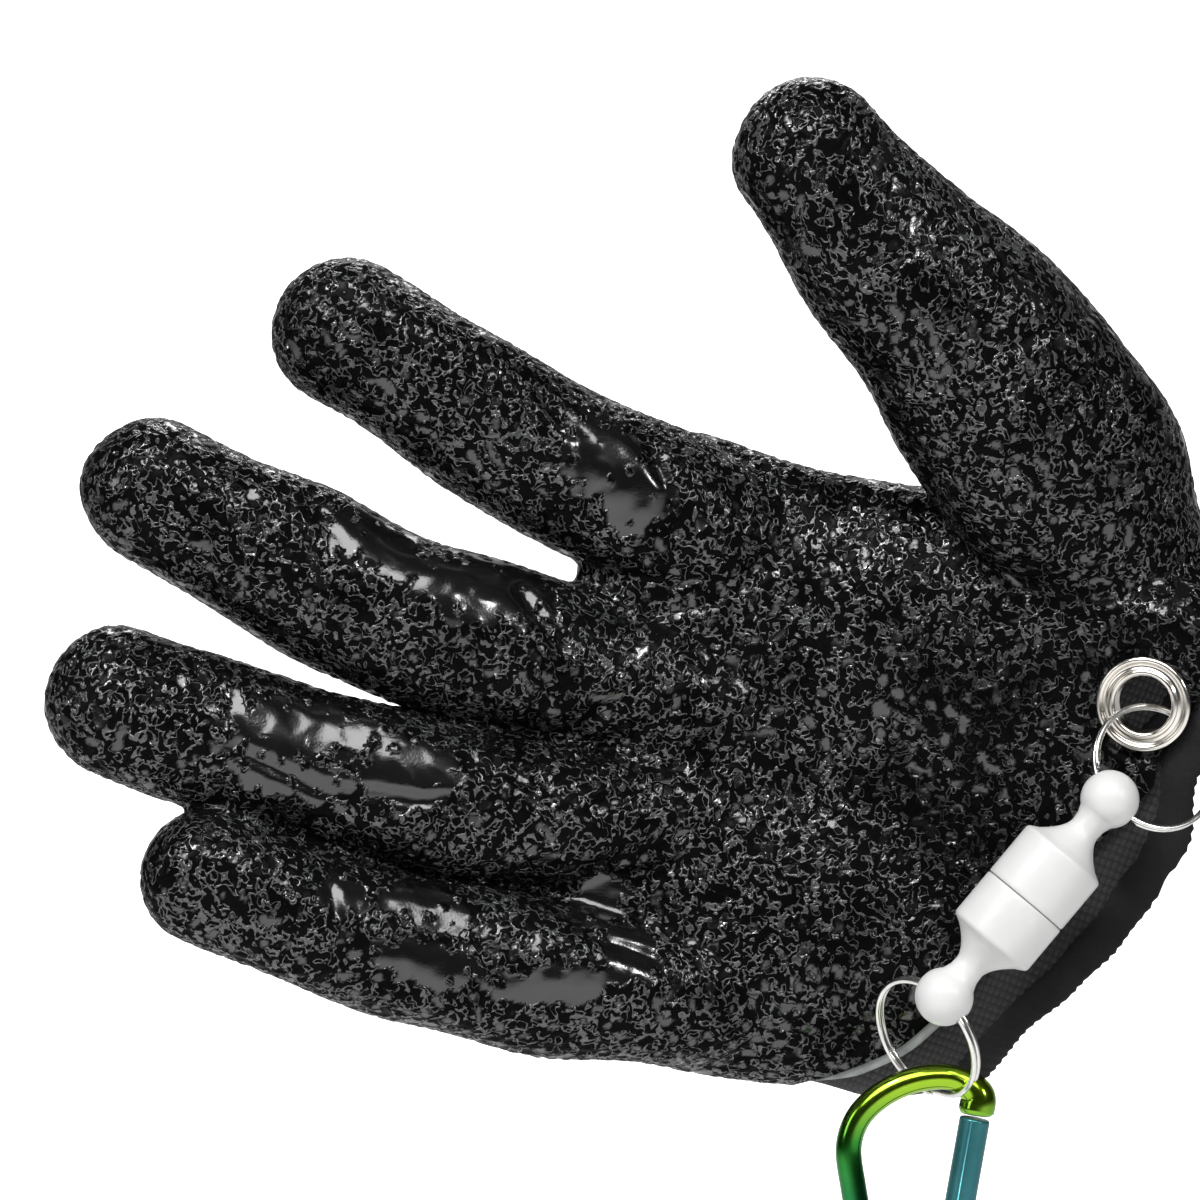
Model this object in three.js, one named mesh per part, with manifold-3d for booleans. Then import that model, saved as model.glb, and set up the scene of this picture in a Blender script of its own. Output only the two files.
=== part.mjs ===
// Right-hand fishing glove in its worn form: palm to the front (-Y), thumb up (+Z), fingers to the
// left (-X). A knitted glove is dipped in crinkled latex. An eyelet near its hem carries a split
// ring, a magnetic release in two halves, a second split ring and a small carabiner.
// Units are millimetres. The origin is the middle of the wrist opening.
import * as THREE from "three";
import { mergeVertices } from "three/addons/utils/BufferGeometryUtils.js";
import Module from "manifold-3d";

const wasm = await Module();
wasm.setup();

// Sizes of the worn glove
const palmLength = 108;
const palmWidth = 104;
const palmDepth = 40;
const indexLength = 93.7;
const indexWidth = 27.4;
const middleLength = 114.5;
const middleWidth = 27.8;
const ringFingerLength = 113.6;
const ringFingerWidth = 25.4;
const littleLength = 102.7;
const littleWidth = 26.4;
const thumbLength = 104.8;
const thumbWidth = 41.6;
const gloveRise = 20; // degrees that the glove climbs from the wrist to the fingertips
const coatThickness = 1.0;
const knitThickness = 1.0;
const layerGap = 0.3;
const hemWidth = 6.5;
const hemThickness = 2.8;
const palmHollow = 6; // how far the cupped palm sinks
const eyeletAcross = 27; // from the middle of the palm towards the thumb
const eyeletInset = 15.5; // from the hem's edge to the eyelet's middle

// Sizes of the hardware
const runningGap = 0.3; // left between neighbouring pieces
const eyeletBore = 9.2;
const eyeletWall = 0.5;
const eyeletFlange = 15.5;
const eyeletRim = 1.1; // height of the flange's rolled rim
const ringDiameter = 21.5;
const ringWire = 0.9; // width of the flat ring wire
const coilThickness = 0.75;
const coilGap = 0.12;
const ballDiameter = 9.3;
const releaseDiameter = 14.7;
const upperHalfLength = 10.2;
const lowerHalfLength = 9.2;
const neckDiameter = 5.0;
const neckLength = 4.6; // from the shoulder to the thinnest place
const ballReach = 10.7; // from the shoulder to the ball's middle
const carabinerLength = 46;
const carabinerWidth = 24.6;
const rodDiameter = 4.2;
const noseDiameter = 5.8;
const gateDiameter = 4.9;
const tangThickness = 1.8;
const rivetDiameter = 1.4;
const rivetHead = 2.8;
const rivetHeadHeight = 0.6;

const radians = THREE.MathUtils.degToRad;

// Turns a table's rows into objects with the columns' names.
function table(columns, rows) {
  return rows.map((row) => Object.fromEntries(columns.map((name, i) => [name, row[i]])));
}

// Reads every column of a table at one value of its key column, on a smooth curve through the rows.
function readTable(rows, key, value) {
  const last = rows.length - 1;
  let k = 0;
  while (k < last - 1 && value > rows[k + 1][key]) {
    k += 1;
  }
  const [a, b] = [rows[k], rows[k + 1]];
  const [before, after] = [rows[Math.max(k - 1, 0)], rows[Math.min(k + 2, last)]];
  const width = b[key] - a[key];
  const f = THREE.MathUtils.clamp((value - a[key]) / width, 0, 1);
  const result = {};
  for (const name of Object.keys(a)) {
    const slopeA = (b[name] - before[name]) / (b[key] - before[key]) * width;
    const slopeB = (after[name] - a[name]) / (after[key] - a[key]) * width;
    result[name] = a[name] * (1 + 2 * f) * (1 - f) ** 2 + slopeA * f * (1 - f) ** 2
      + b[name] * f * f * (3 - 2 * f) - slopeB * f * f * (1 - f);
  }
  return result;
}

// A point in the glove's own frame: along to the fingertips, across to the thumb, front out of the palm.
function glovePoint(along, across, front) {
  return new THREE.Vector3(-along, -front, across);
}

const towardsFront = glovePoint(0, 0, 1);

// Solids from loops of points, and booleans between them

function solidFrom(points, faces) {
  const corners = Float32Array.from(points.flatMap((p) => [p.x, p.y, p.z]));
  let volume = 0;
  for (let i = 0; i < faces.length; i += 3) {
    const [a, b, c] = [points[faces[i]], points[faces[i + 1]], points[faces[i + 2]]];
    volume += a.dot(new THREE.Vector3().crossVectors(b, c));
  }
  const outward = volume > 0 ? faces : faces.slice().reverse();
  const mesh = new wasm.Mesh({ numProp: 3, vertProperties: corners, triVerts: Uint32Array.from(outward) });
  return new wasm.Manifold(mesh);
}

// A closed skin over a row of loops of equal count. The row ends in fans, or runs into its start.
function skin(loops, closesOnItself = false) {
  const count = loops[0].length;
  const points = loops.flat();
  const faces = [];
  const rows = closesOnItself ? loops.length : loops.length - 1;
  for (let row = 0; row < rows; row += 1) {
    const next = (row + 1) % loops.length;
    for (let i = 0; i < count; i += 1) {
      const j = (i + 1) % count;
      const [a, b, c, d] = [row * count + i, row * count + j, next * count + i, next * count + j];
      faces.push(a, b, d, a, d, c);
    }
  }
  if (!closesOnItself) {
    for (const row of [0, loops.length - 1]) {
      const middle = new THREE.Vector3();
      loops[row].forEach((p) => middle.addScaledVector(p, 1 / count));
      const hub = points.push(middle) - 1;
      for (let i = 0; i < count; i += 1) {
        const [a, b] = [row * count + i, row * count + (i + 1) % count];
        faces.push(...(row === 0 ? [hub, b, a] : [hub, a, b]));
      }
    }
  }
  return solidFrom(points, faces);
}

function solidOf(geometry, matrix = new THREE.Matrix4()) {
  const bare = geometry.clone();
  bare.deleteAttribute("normal");
  bare.deleteAttribute("uv");
  const merged = mergeVertices(bare, 1e-4);
  merged.applyMatrix4(matrix);
  const position = merged.getAttribute("position");
  const pointAt = (_, i) => new THREE.Vector3().fromBufferAttribute(position, i);
  const points = Array.from({ length: position.count }, pointAt);
  return solidFrom(points, Array.from(merged.getIndex().array));
}

function geometryOf(solid) {
  const mesh = solid.getMesh();
  const geometry = new THREE.BufferGeometry();
  const corners = Float32Array.from(mesh.vertProperties);
  geometry.setAttribute("position", new THREE.BufferAttribute(corners, mesh.numProp));
  geometry.setIndex(new THREE.BufferAttribute(Uint32Array.from(mesh.triVerts), 1));
  return geometry;
}

// A cylinder between two heights on the z axis.
function rod(radius, low, high, sides = 20) {
  const geometry = new THREE.CylinderGeometry(radius, radius, high - low, sides);
  geometry.rotateX(Math.PI / 2);
  geometry.translate(0, 0, (low + high) / 2);
  return geometry;
}

// A body turned round the z axis from [radius, height] points.
function turned(profile, sides) {
  const geometry = new THREE.LatheGeometry(profile.map(([r, z]) => new THREE.Vector2(r, z)), sides);
  geometry.rotateX(Math.PI / 2);
  return geometry;
}

// Palm of the glove. Each row is one oval section between a thumb edge and a little-finger edge.
// Along is a share of the palm's length, across of its width, front and half of its depth.
const palmRows = table(
  ["at", "thumbAlong", "thumbAcross", "thumbFront", "littleAlong", "littleAcross", "littleFront", "half"],
  [
    [0.00, -0.24, 0.48, 0.17, -0.13, -0.37, -0.27, 0.66],
    [0.14, -0.07, 0.50, 0.19, 0.05, -0.40, -0.24, 0.60],
    [0.26, 0.10, 0.54, 0.20, 0.16, -0.44, -0.20, 0.51],
    [0.38, 0.28, 0.54, 0.20, 0.26, -0.49, -0.15, 0.45],
    [0.50, 0.48, 0.48, 0.12, 0.36, -0.50, -0.10, 0.42],
    [0.63, 0.63, 0.44, 0.05, 0.47, -0.52, -0.05, 0.40],
    [0.76, 0.78, 0.43, 0.00, 0.61, -0.55, 0.00, 0.35],
    [0.90, 0.92, 0.41, 0.00, 0.78, -0.58, 0.05, 0.27],
    [1.00, 1.00, 0.29, 0.05, 0.87, -0.50, 0.10, 0.12],
  ],
);
const palmSections = 12;
const palmSides = 26;
const palmSquareness = 2.4; // 2 is an ellipse
const webStart = 0.8; // the palm table's key value from which the web end is drawn in

// Hollows (below zero) and mounds of the palm side: shares of length and width, depth of the hollow.
const palmRelief = table(
  ["along", "across", "alongSpread", "acrossSpread", "rise"],
  [
    [0.55, 0.00, 0.30, 0.22, -1.0],
    [0.12, 0.02, 0.20, 0.16, -0.7],
    [0.34, -0.34, 0.22, 0.14, 0.3],
  ],
);

function reliefAt(along, across) {
  return palmRelief.reduce((sum, bump) => {
    const x = (along / palmLength - bump.along) / bump.alongSpread;
    const y = (across / palmWidth - bump.across) / bump.acrossSpread;
    return sum + palmHollow * bump.rise * Math.exp(-x * x - y * y);
  }, 0);
}

function palmPlace(along, across, front) {
  return glovePoint(along * palmLength, across * palmWidth, front * palmDepth);
}

// A point of the palm's skin: at runs from the wrist to the webs, turn goes round the section.
function barePalmPoint(at, turn, inset) {
  const row = readTable(palmRows, "at", at);
  const pulled = inset * THREE.MathUtils.smoothstep(at, webStart, 1);
  const thumbEdge = palmPlace(row.thumbAlong, row.thumbAcross, row.thumbFront);
  const littleEdge = palmPlace(row.littleAlong, row.littleAcross, row.littleFront);
  const across = thumbEdge.clone().sub(littleEdge);
  const halfWidth = across.length() / 2 - inset;
  across.normalize();
  const outward = towardsFront.clone().addScaledVector(across, -towardsFront.dot(across)).normalize();
  const round = (value) => Math.sign(value) * Math.abs(value) ** (2 / palmSquareness);
  const point = thumbEdge.add(littleEdge).multiplyScalar(0.5).sub(glovePoint(pulled, 0, 0));
  point.addScaledVector(across, halfWidth * round(Math.cos(turn)));
  point.addScaledVector(outward, (row.half * palmDepth - inset) * round(Math.sin(turn)));
  const frontShare = Math.max(Math.sin(turn), 0) ** 0.5;
  return point.addScaledVector(towardsFront, reliefAt(-point.x, point.z) * frontShare);
}

// Lines of the hem's edge and of the latex's edge across the palm, as shares of width and length.
const hemEdge = table(
  ["across", "along"],
  [[-0.60, 0.150], [-0.42, 0.125], [-0.30, 0.100], [-0.20, 0.055], [-0.09, 0.012], [0.02, -0.014],
    [0.12, -0.031], [0.24, -0.028], [0.36, -0.022], [0.50, -0.045], [0.80, -0.065]],
);
const coatEdge = table(
  ["across", "along"],
  [[-0.60, 0.43], [-0.51, 0.40], [-0.45, 0.335], [-0.36, 0.26], [-0.10, 0.16], [0.15, 0.06],
    [0.32, 0.05], [0.54, 0.03], [0.80, 0.016]],
);

function edgeAt(rows, across) {
  const share = THREE.MathUtils.clamp(across / palmWidth, rows[0].across, rows.at(-1).across);
  return readTable(rows, "across", share).along * palmLength;
}

// The upper ring gathers the hem: its edge is tucked up where the ring comes round it.
const hemTuck = 3.6;
const tuckSpread = 8;
const tuckAcross = 7.5; // below the eyelet

function hemLineAt(across) {
  const offset = (across - eyeletAcross + tuckAcross) / tuckSpread;
  return edgeAt(hemEdge, across) + hemTuck * Math.exp(-offset * offset);
}

// The latex ends clear of the hem.
const coatClearance = 0.8;

function coatLineAt(across) {
  return Math.max(edgeAt(coatEdge, across), hemLineAt(across) + hemWidth + coatClearance);
}

// Finds the place of the palm's front that lies at the given along and across.
function findOnPalm(along, across) {
  let at = 0.25;
  let turn = Math.PI / 2;
  const step = 1e-4;
  for (let round = 0; round < 20; round += 1) {
    const here = barePalmPoint(at, turn, 0);
    const byAt = barePalmPoint(at + step, turn, 0).sub(here).divideScalar(step);
    const byTurn = barePalmPoint(at, turn + step, 0).sub(here).divideScalar(step);
    const missAlong = along + here.x;
    const missAcross = across - here.z;
    const determinant = -byAt.x * byTurn.z + byTurn.x * byAt.z;
    at += (missAlong * byTurn.z + byTurn.x * missAcross) / determinant;
    turn += (-byAt.x * missAcross - byAt.z * missAlong) / determinant;
  }
  return { at, turn };
}

// Eyelet's seat: a flat place in the wall, leaned a little towards the fingers and the little finger.
const eyeletLeanAlong = 10; // degrees
const eyeletLeanAcross = 8;
const seatFlat = 13; // radius that is quite flat
const seatBlend = 24; // radius where the wall has its own shape again
const eyeletPlace = findOnPalm(edgeAt(hemEdge, eyeletAcross) + eyeletInset, eyeletAcross);
const eyeletCentre = barePalmPoint(eyeletPlace.at, eyeletPlace.turn, 0);

function eyeletNormal() {
  const step = 0.02;
  const { at, turn } = eyeletPlace;
  const byAt = barePalmPoint(at + step, turn, 0).sub(barePalmPoint(at - step, turn, 0));
  const byTurn = barePalmPoint(at, turn + step, 0).sub(barePalmPoint(at, turn - step, 0));
  const normal = byAt.cross(byTurn).normalize();
  if (normal.dot(towardsFront) < 0) {
    normal.negate();
  }
  normal.addScaledVector(glovePoint(1, 0, 0), Math.tan(radians(eyeletLeanAlong)));
  return normal.addScaledVector(glovePoint(0, -1, 0), Math.tan(radians(eyeletLeanAcross))).normalize();
}

const seatNormal = eyeletNormal();

function palmPoint(at, turn, inset) {
  const point = barePalmPoint(at, turn, inset);
  if (Math.sin(turn) <= 0) {
    return point;
  }
  const offset = point.clone().sub(eyeletCentre);
  const height = offset.dot(seatNormal) + inset;
  const spread = offset.addScaledVector(seatNormal, -offset.dot(seatNormal)).length();
  const hold = 1 - THREE.MathUtils.smoothstep(spread, seatFlat, seatBlend);
  return point.addScaledVector(seatNormal, -height * hold);
}

function palmSolid(inset) {
  const loops = [];
  for (let k = 0; k < palmSections; k += 1) {
    const at = k / (palmSections - 1);
    const pointOf = (_, i) => palmPoint(at, i / palmSides * 2 * Math.PI, inset);
    loops.push(Array.from({ length: palmSides }, pointOf));
  }
  return skin(loops);
}

// Fingers and thumb. Each starts inside the palm, at root in shares of the palm's sizes, and runs
// towards its heading. The rows of its middle line are shares of its length, girth of its width.
const digitColumns = ["along", "side", "front", "girth"];
const digits = [
  {
    root: [0.675, 0.288, 0],
    heading: 7.2,
    length: indexLength,
    width: indexWidth,
    flatness: 0.9,
    rows: table(digitColumns, [[0, 0, 0, 0.86], [0.29, -0.029, 0.043, 1.0], [0.52, -0.033, 0.075, 0.96],
      [0.74, -0.012, 0.107, 0.91], [1, 0, 0.139, 0.86]]),
  },
  {
    root: [0.666, 0.026, 0],
    heading: 1.5,
    length: middleLength,
    width: middleWidth,
    flatness: 0.9,
    rows: table(digitColumns, [[0, 0, 0, 0.86], [0.24, -0.017, 0.044, 0.93], [0.40, -0.037, 0.079, 0.98],
      [0.59, -0.041, 0.105, 1.0], [0.81, -0.015, 0.122, 0.89], [1, 0, 0.131, 0.84]]),
  },
  {
    root: [0.619, -0.153, 0],
    heading: -7.0,
    length: ringFingerLength,
    width: ringFingerWidth,
    flatness: 0.92,
    rows: table(digitColumns, [[0, 0, 0, 0.88], [0.25, -0.026, 0.062, 0.97], [0.43, -0.044, 0.097, 0.98],
      [0.61, -0.038, 0.123, 0.99], [0.81, -0.019, 0.150, 1.0], [1, 0, 0.167, 0.93]]),
  },
  {
    root: [0.494, -0.369, 0],
    heading: -6.2,
    length: littleLength,
    width: littleWidth,
    flatness: 0.92,
    rows: table(digitColumns, [[0, 0, 0, 0.90], [0.19, -0.042, 0.049, 1.0], [0.41, -0.060, 0.107, 0.97],
      [0.60, -0.063, 0.146, 0.89], [0.80, -0.040, 0.185, 0.86], [1, 0, 0.214, 0.82]]),
  },
  {
    root: [0.13, 0.404, 0.17],
    heading: 31.5,
    length: thumbLength,
    width: thumbWidth,
    flatness: 0.82,
    rows: table(digitColumns, [[0, 0, 0, 0.62], [0.27, 0.017, 0.067, 0.98], [0.51, 0.023, 0.143, 0.89],
      [0.66, 0.003, 0.191, 0.75], [0.84, -0.006, 0.229, 0.62], [1, 0, 0.258, 0.57]]),
  },
];
const digitSides = 12;
const digitRings = 5;
const tipAngles = [32, 66]; // degrees round the tip's dome

function digitSolid(digit, inset) {
  const heading = radians(digit.heading);
  const ahead = glovePoint(Math.cos(heading), Math.sin(heading), 0);
  const aside = glovePoint(-Math.sin(heading), Math.cos(heading), 0);
  const root = palmPlace(...digit.root);
  const middleAt = (share) => {
    const row = readTable(digit.rows, "along", share);
    const point = root.clone().addScaledVector(ahead, share * digit.length);
    point.addScaledVector(aside, row.side * digit.length);
    point.addScaledVector(towardsFront, row.front * digit.length);
    return { point, half: row.girth * digit.width / 2 };
  };
  const domeLength = digit.rows.at(-1).girth * digit.width / 2;
  const domeStart = 1 - domeLength / digit.length;
  const loopAt = (share, reach, narrowing) => {
    const { point, half } = middleAt(share);
    const direction = middleAt(share + 0.02).point.sub(middleAt(share - 0.02).point).normalize();
    const side = direction.clone().cross(towardsFront).normalize();
    const depth = side.clone().cross(direction);
    point.addScaledVector(direction, reach);
    return Array.from({ length: digitSides }, (_, i) => {
      const turn = (i + 0.5) / digitSides * 2 * Math.PI;
      return point.clone()
        .addScaledVector(side, (half - inset) * narrowing * Math.cos(turn))
        .addScaledVector(depth, (half * digit.flatness - inset) * narrowing * Math.sin(turn));
    });
  };
  const loops = [];
  for (let k = 0; k < digitRings; k += 1) {
    loops.push(loopAt(domeStart * k / (digitRings - 1), 0, 1));
  }
  for (const angle of tipAngles) {
    const reach = (domeLength - inset) * Math.sin(radians(angle));
    loops.push(loopAt(domeStart, reach, Math.cos(radians(angle))));
  }
  return skin(loops);
}

// The whole glove as one solid body, drawn in by inset everywhere.
function gloveBody(inset) {
  return digits.reduce((body, digit) => body.add(digitSolid(digit, inset)), palmSolid(inset));
}

// Everything on the wrist's side of an edge line that is moved towards the fingers by shift.
function wristSide(lineAt, shift) {
  const reach = 2 * palmWidth;
  const steps = 26;
  const corners = [new THREE.Vector2(reach, -reach), new THREE.Vector2(reach, reach)];
  for (let i = steps; i >= 0; i -= 1) {
    const across = (i / steps - 0.5) * 1.3 * palmWidth;
    corners.push(new THREE.Vector2(-lineAt(across) - shift, across));
  }
  corners.splice(2, 0, new THREE.Vector2(corners[2].x, reach));
  corners.push(new THREE.Vector2(corners.at(-1).x, -reach));
  const shape = new THREE.Shape(corners);
  const geometry = new THREE.ExtrudeGeometry(shape, { depth: 2 * reach, bevelEnabled: false });
  geometry.rotateX(Math.PI / 2);
  geometry.translate(0, reach, 0);
  return solidOf(geometry);
}

// The glove's back, where the knit is left bare: along as a share of the palm's length and front as
// a share of its depth.
const bareBack = [[-0.6, -0.26], [0.2, -0.22], [0.55, -0.18], [0.88, -0.08], [1.08, 0.06], [1.19, 0.10],
  [1.25, -0.1], [1.28, -2]];

function backWindow() {
  const reach = 2 * palmWidth;
  const corners = bareBack.map(([along, front]) => {
    return new THREE.Vector2(-along * palmLength, -front * palmDepth);
  });
  corners.push(new THREE.Vector2(0.6 * palmLength, 2 * palmDepth));
  const shape = new THREE.Shape(corners);
  const geometry = new THREE.ExtrudeGeometry(shape, { depth: reach, bevelEnabled: false });
  geometry.translate(0, 0, -reach / 2);
  return solidOf(geometry);
}

// A frame at origin with the given z axis, and its x axis as near to the hint as that allows.
function frameFrom(origin, zAxis, xHint) {
  const z = zAxis.clone().normalize();
  const x = xHint.clone().addScaledVector(z, -xHint.dot(z)).normalize();
  return new THREE.Matrix4().makeBasis(x, z.clone().cross(x), z).setPosition(origin);
}

const seatFrame = frameFrom(eyeletCentre, seatNormal, glovePoint(-1, 0, 0));
const wallHole = eyeletBore / 2 + eyeletWall + runningGap;
const wallStack = coatThickness + layerGap + knitThickness;

const eyeletLip = 0.9; // how far the barrel's back end is turned out

// Room for the eyelet: its hole, and the wall pressed flat under its flange and behind its lip.
function eyeletRoom() {
  const reach = 3 * wallStack;
  return solidOf(rod(wallHole, -reach, reach, 24), seatFrame)
    .add(solidOf(rod(eyeletFlange / 2 + runningGap, 0, reach, 24), seatFrame))
    .add(solidOf(rod(wallHole + eyeletLip, -reach, -wallStack, 24), seatFrame));
}

function latexCoat() {
  return gloveBody(0)
    .subtract(gloveBody(coatThickness))
    .subtract(wristSide(coatLineAt, 0))
    .subtract(backWindow())
    .subtract(eyeletRoom());
}

function knitLiner() {
  const knitOuter = coatThickness + layerGap;
  return gloveBody(knitOuter)
    .subtract(gloveBody(knitOuter + knitThickness))
    .subtract(wristSide(hemLineAt, hemWidth + runningGap))
    .subtract(eyeletRoom());
}

// Rolled hem: an oval cord bent round the wrist opening on the knit's middle surface.
function cuffHem() {
  const steps = 40;
  const sides = 8;
  const inset = coatThickness + layerGap + knitThickness / 2;
  const small = 0.01;
  const loops = [];
  for (let k = 0; k < steps; k += 1) {
    const turn = k / steps * 2 * Math.PI;
    let [low, high] = [0, 0.5];
    for (let round = 0; round < 30; round += 1) {
      const middle = (low + high) / 2;
      const point = palmPoint(middle, turn, inset);
      if (-point.x < hemLineAt(point.z) + hemWidth / 2) {
        low = middle;
      } else {
        high = middle;
      }
    }
    const centre = palmPoint(low, turn, inset);
    const up = palmPoint(low + small, turn, inset).sub(palmPoint(low - small, turn, inset)).normalize();
    const round = palmPoint(low, turn + small, inset).sub(palmPoint(low, turn - small, inset)).normalize();
    const out = up.clone().cross(round).normalize();
    loops.push(Array.from({ length: sides }, (_, i) => {
      const angle = (i + 0.5) / sides * 2 * Math.PI;
      return centre.clone()
        .addScaledVector(up, hemWidth / 2 * Math.cos(angle))
        .addScaledVector(out, hemThickness / 2 * Math.sin(angle));
    }));
  }
  return skin(loops, true);
}

// Eyelet: rolled rim in front, barrel through both layers, and the barrel's turned-out end behind.
function eyeletProfile() {
  const bore = eyeletBore / 2;
  const barrel = bore + eyeletWall;
  const flange = eyeletFlange / 2;
  const under = runningGap;
  const back = -wallStack - runningGap;
  const lip = barrel + eyeletLip;
  return [
    [bore, under + 0.6 * eyeletRim], [bore + 0.5, under + eyeletRim], [bore + 0.9, under + 0.85 * eyeletRim],
    [(barrel + flange) / 2, under + 0.55 * eyeletRim], [flange - 1.0, under + eyeletRim],
    [flange - 0.2, under + 0.6 * eyeletRim], [flange, under], [barrel, under],
    [barrel, back], [lip, back], [lip, back - 0.25], [barrel, back - 0.45], [bore, back - 0.2],
    [bore, under + 0.6 * eyeletRim],
  ];
}

// Split ring of flat wire: two coils side by side, with the step between them opposite the gap.
const coilPitch = coilThickness + coilGap;
const ringRadius = (ringDiameter - ringWire) / 2;
const ringAxis = new THREE.Vector3(0, 0, 1);

function splitRing() {
  const steps = 40;
  const stepHalf = 0.42; // half the angle over which one coil climbs to the other
  const [start, end] = [stepHalf + 0.08, 4 * Math.PI - stepHalf - 0.08];
  const section = [[-0.5, -0.3], [0, -0.5], [0.5, -0.3], [0.5, 0.3], [0, 0.5], [-0.5, 0.3]];
  const loops = [];
  for (let k = 0; k <= steps; k += 1) {
    const angle = start + (end - start) * k / steps;
    const climb = THREE.MathUtils.smoothstep(angle, 2 * Math.PI - stepHalf, 2 * Math.PI + stepHalf);
    const height = coilPitch * (climb - 0.5);
    loops.push(section.map(([out, up]) => {
      const point = new THREE.Vector3(ringRadius + out * ringWire, 0, height + up * coilThickness);
      return point.applyAxisAngle(ringAxis, angle);
    }));
  }
  return skin(loops);
}

// Upper ring. It goes through the eyelet and round the hem, so its plane stands on edge in the wall.
const ringStand = 47; // degrees between the ring's plane and the wall
const ringHeading = 38; // degrees in the wall, from straight down towards the hem
const ringEnter = 0.2; // where the ring crosses the bore, from its middle towards the hem
const ringShift = 0.8; // and from there down towards the fingers
const ringChord = 18.2; // from there to where it comes round the hem

const glove = new THREE.Group();
glove.rotation.y = radians(gloveRise);
glove.updateMatrixWorld(true);
const eyeletWorld = eyeletCentre.clone().applyMatrix4(glove.matrixWorld);
const wallNormal = seatNormal.clone().transformDirection(glove.matrixWorld);

function flattened(direction, normal) {
  return direction.clone().addScaledVector(normal, -direction.dot(normal)).normalize();
}

const hemward = flattened(
  new THREE.Vector3(Math.sin(radians(ringHeading)), 0, -Math.cos(radians(ringHeading))), wallNormal);
const wallSide = wallNormal.clone().cross(hemward);
const ringBack = wallSide.clone().multiplyScalar(Math.cos(radians(ringStand)))
  .addScaledVector(wallNormal, -Math.sin(radians(ringStand)));
const ringCentre = eyeletWorld.clone()
  .addScaledVector(wallNormal, -wallStack / 2)
  .addScaledVector(hemward, ringEnter + ringChord / 2)
  .addScaledVector(wallSide, -ringShift)
  .addScaledVector(ringBack, -Math.sqrt(ringRadius ** 2 - (ringChord / 2) ** 2));
const ringNormal = hemward.clone().cross(ringBack);
const upperBall = ringCentre.clone().addScaledVector(ringBack, -ringRadius);
const upperRingFrame = frameFrom(ringCentre, ringNormal, ringBack.clone().negate());

// Magnetic release. It lies along the cuff, its lower ball towards the little finger and as far
// in front of the palm's skin as the stand says.
const releaseLean = 40; // degrees from straight down towards the fingers
const lowerBallStand = 14.61;
const releaseLength = 2 * ballReach + upperHalfLength + lowerHalfLength + runningGap;

function lowerBallPlace() {
  const lean = new THREE.Vector3(-Math.sin(radians(releaseLean)), 0, -Math.cos(radians(releaseLean)));
  const toGlove = glove.matrixWorld.clone().invert();
  const place = new THREE.Vector3();
  let dip = 0;
  for (let round = 0; round < 12; round += 1) {
    place.copy(upperBall).addScaledVector(lean, Math.sqrt(releaseLength ** 2 - dip ** 2));
    const behind = place.clone().applyMatrix4(toGlove);
    const found = findOnPalm(-behind.x, behind.z);
    dip = palmPoint(found.at, found.turn, 0).y - lowerBallStand - upperBall.y;
    place.y += dip;
  }
  return place;
}

const lowerBall = lowerBallPlace();
const releaseAxis = lowerBall.clone().sub(upperBall).normalize();

// One half, from the parting face at height 0 to the ball's far end.
function releaseHalf(length) {
  const body = releaseDiameter / 2;
  const neck = neckDiameter / 2;
  const ball = ballDiameter / 2;
  const ballHeight = length + ballReach;
  const chamfer = 0.3;
  const profile = [
    [0, 0], [body - chamfer, 0], [body, chamfer], [body, length - 1.6], [body - 0.5, length - 0.5],
  ];
  for (const share of [0.08, 0.25, 0.5, 0.75, 1]) {
    profile.push([neck + (body - 1 - neck) * (1 - share) ** 1.7, length + neckLength * share]);
  }
  const joinAngle = Math.asin(neck / ball) + 0.12;
  for (const share of [0, 0.2, 0.4, 0.6, 0.8]) {
    const angle = joinAngle + (Math.PI - joinAngle) * share;
    profile.push([ball * Math.sin(angle), ballHeight - ball * Math.cos(angle)]);
  }
  profile.push([0, ballHeight + ball]);
  return turned(profile, 14);
}

// The ring's way through a ball: a tube bent along the ring, with the clearance all round.
function ringWay(ringFrame, ballAngle) {
  const reach = 1.15 * Math.asin(ballDiameter / 2 / ringRadius);
  const half = Math.hypot(ringWire, 2 * coilThickness + coilGap) / 2 + runningGap;
  const loops = [];
  for (let k = 0; k <= 8; k += 1) {
    const angle = ballAngle - reach + 2 * reach * k / 8;
    loops.push(Array.from({ length: 10 }, (_, i) => {
      const turn = i / 10 * 2 * Math.PI;
      const point = new THREE.Vector3(ringRadius + half * Math.cos(turn), 0, half * Math.sin(turn));
      return point.applyAxisAngle(ringAxis, angle).applyMatrix4(ringFrame);
    }));
  }
  return skin(loops);
}

// Lower ring. Its long way hangs down from the lower ball and slightly back, open to the left.
const lowerRingLong = new THREE.Vector3(0.45, 0, -0.89).normalize();
const lowerRingTurn = 54; // degrees that the ring is turned out of the picture plane
const lowerRingSide = new THREE.Vector3(0.89, 0, 0.45).normalize()
  .multiplyScalar(Math.cos(radians(lowerRingTurn)))
  .add(new THREE.Vector3(0, -Math.sin(radians(lowerRingTurn)), 0));
const lowerBallAngle = radians(123); // the ball's place on the ring, from its lowest point
const lowerRingNormal = lowerRingLong.clone().cross(lowerRingSide);
const lowerRingCentre = lowerBall.clone()
  .addScaledVector(lowerRingLong, -ringRadius * Math.cos(lowerBallAngle))
  .addScaledVector(lowerRingSide, -ringRadius * Math.sin(lowerBallAngle));
const lowerRingFrame = frameFrom(lowerRingCentre, lowerRingNormal, lowerRingLong);

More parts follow.
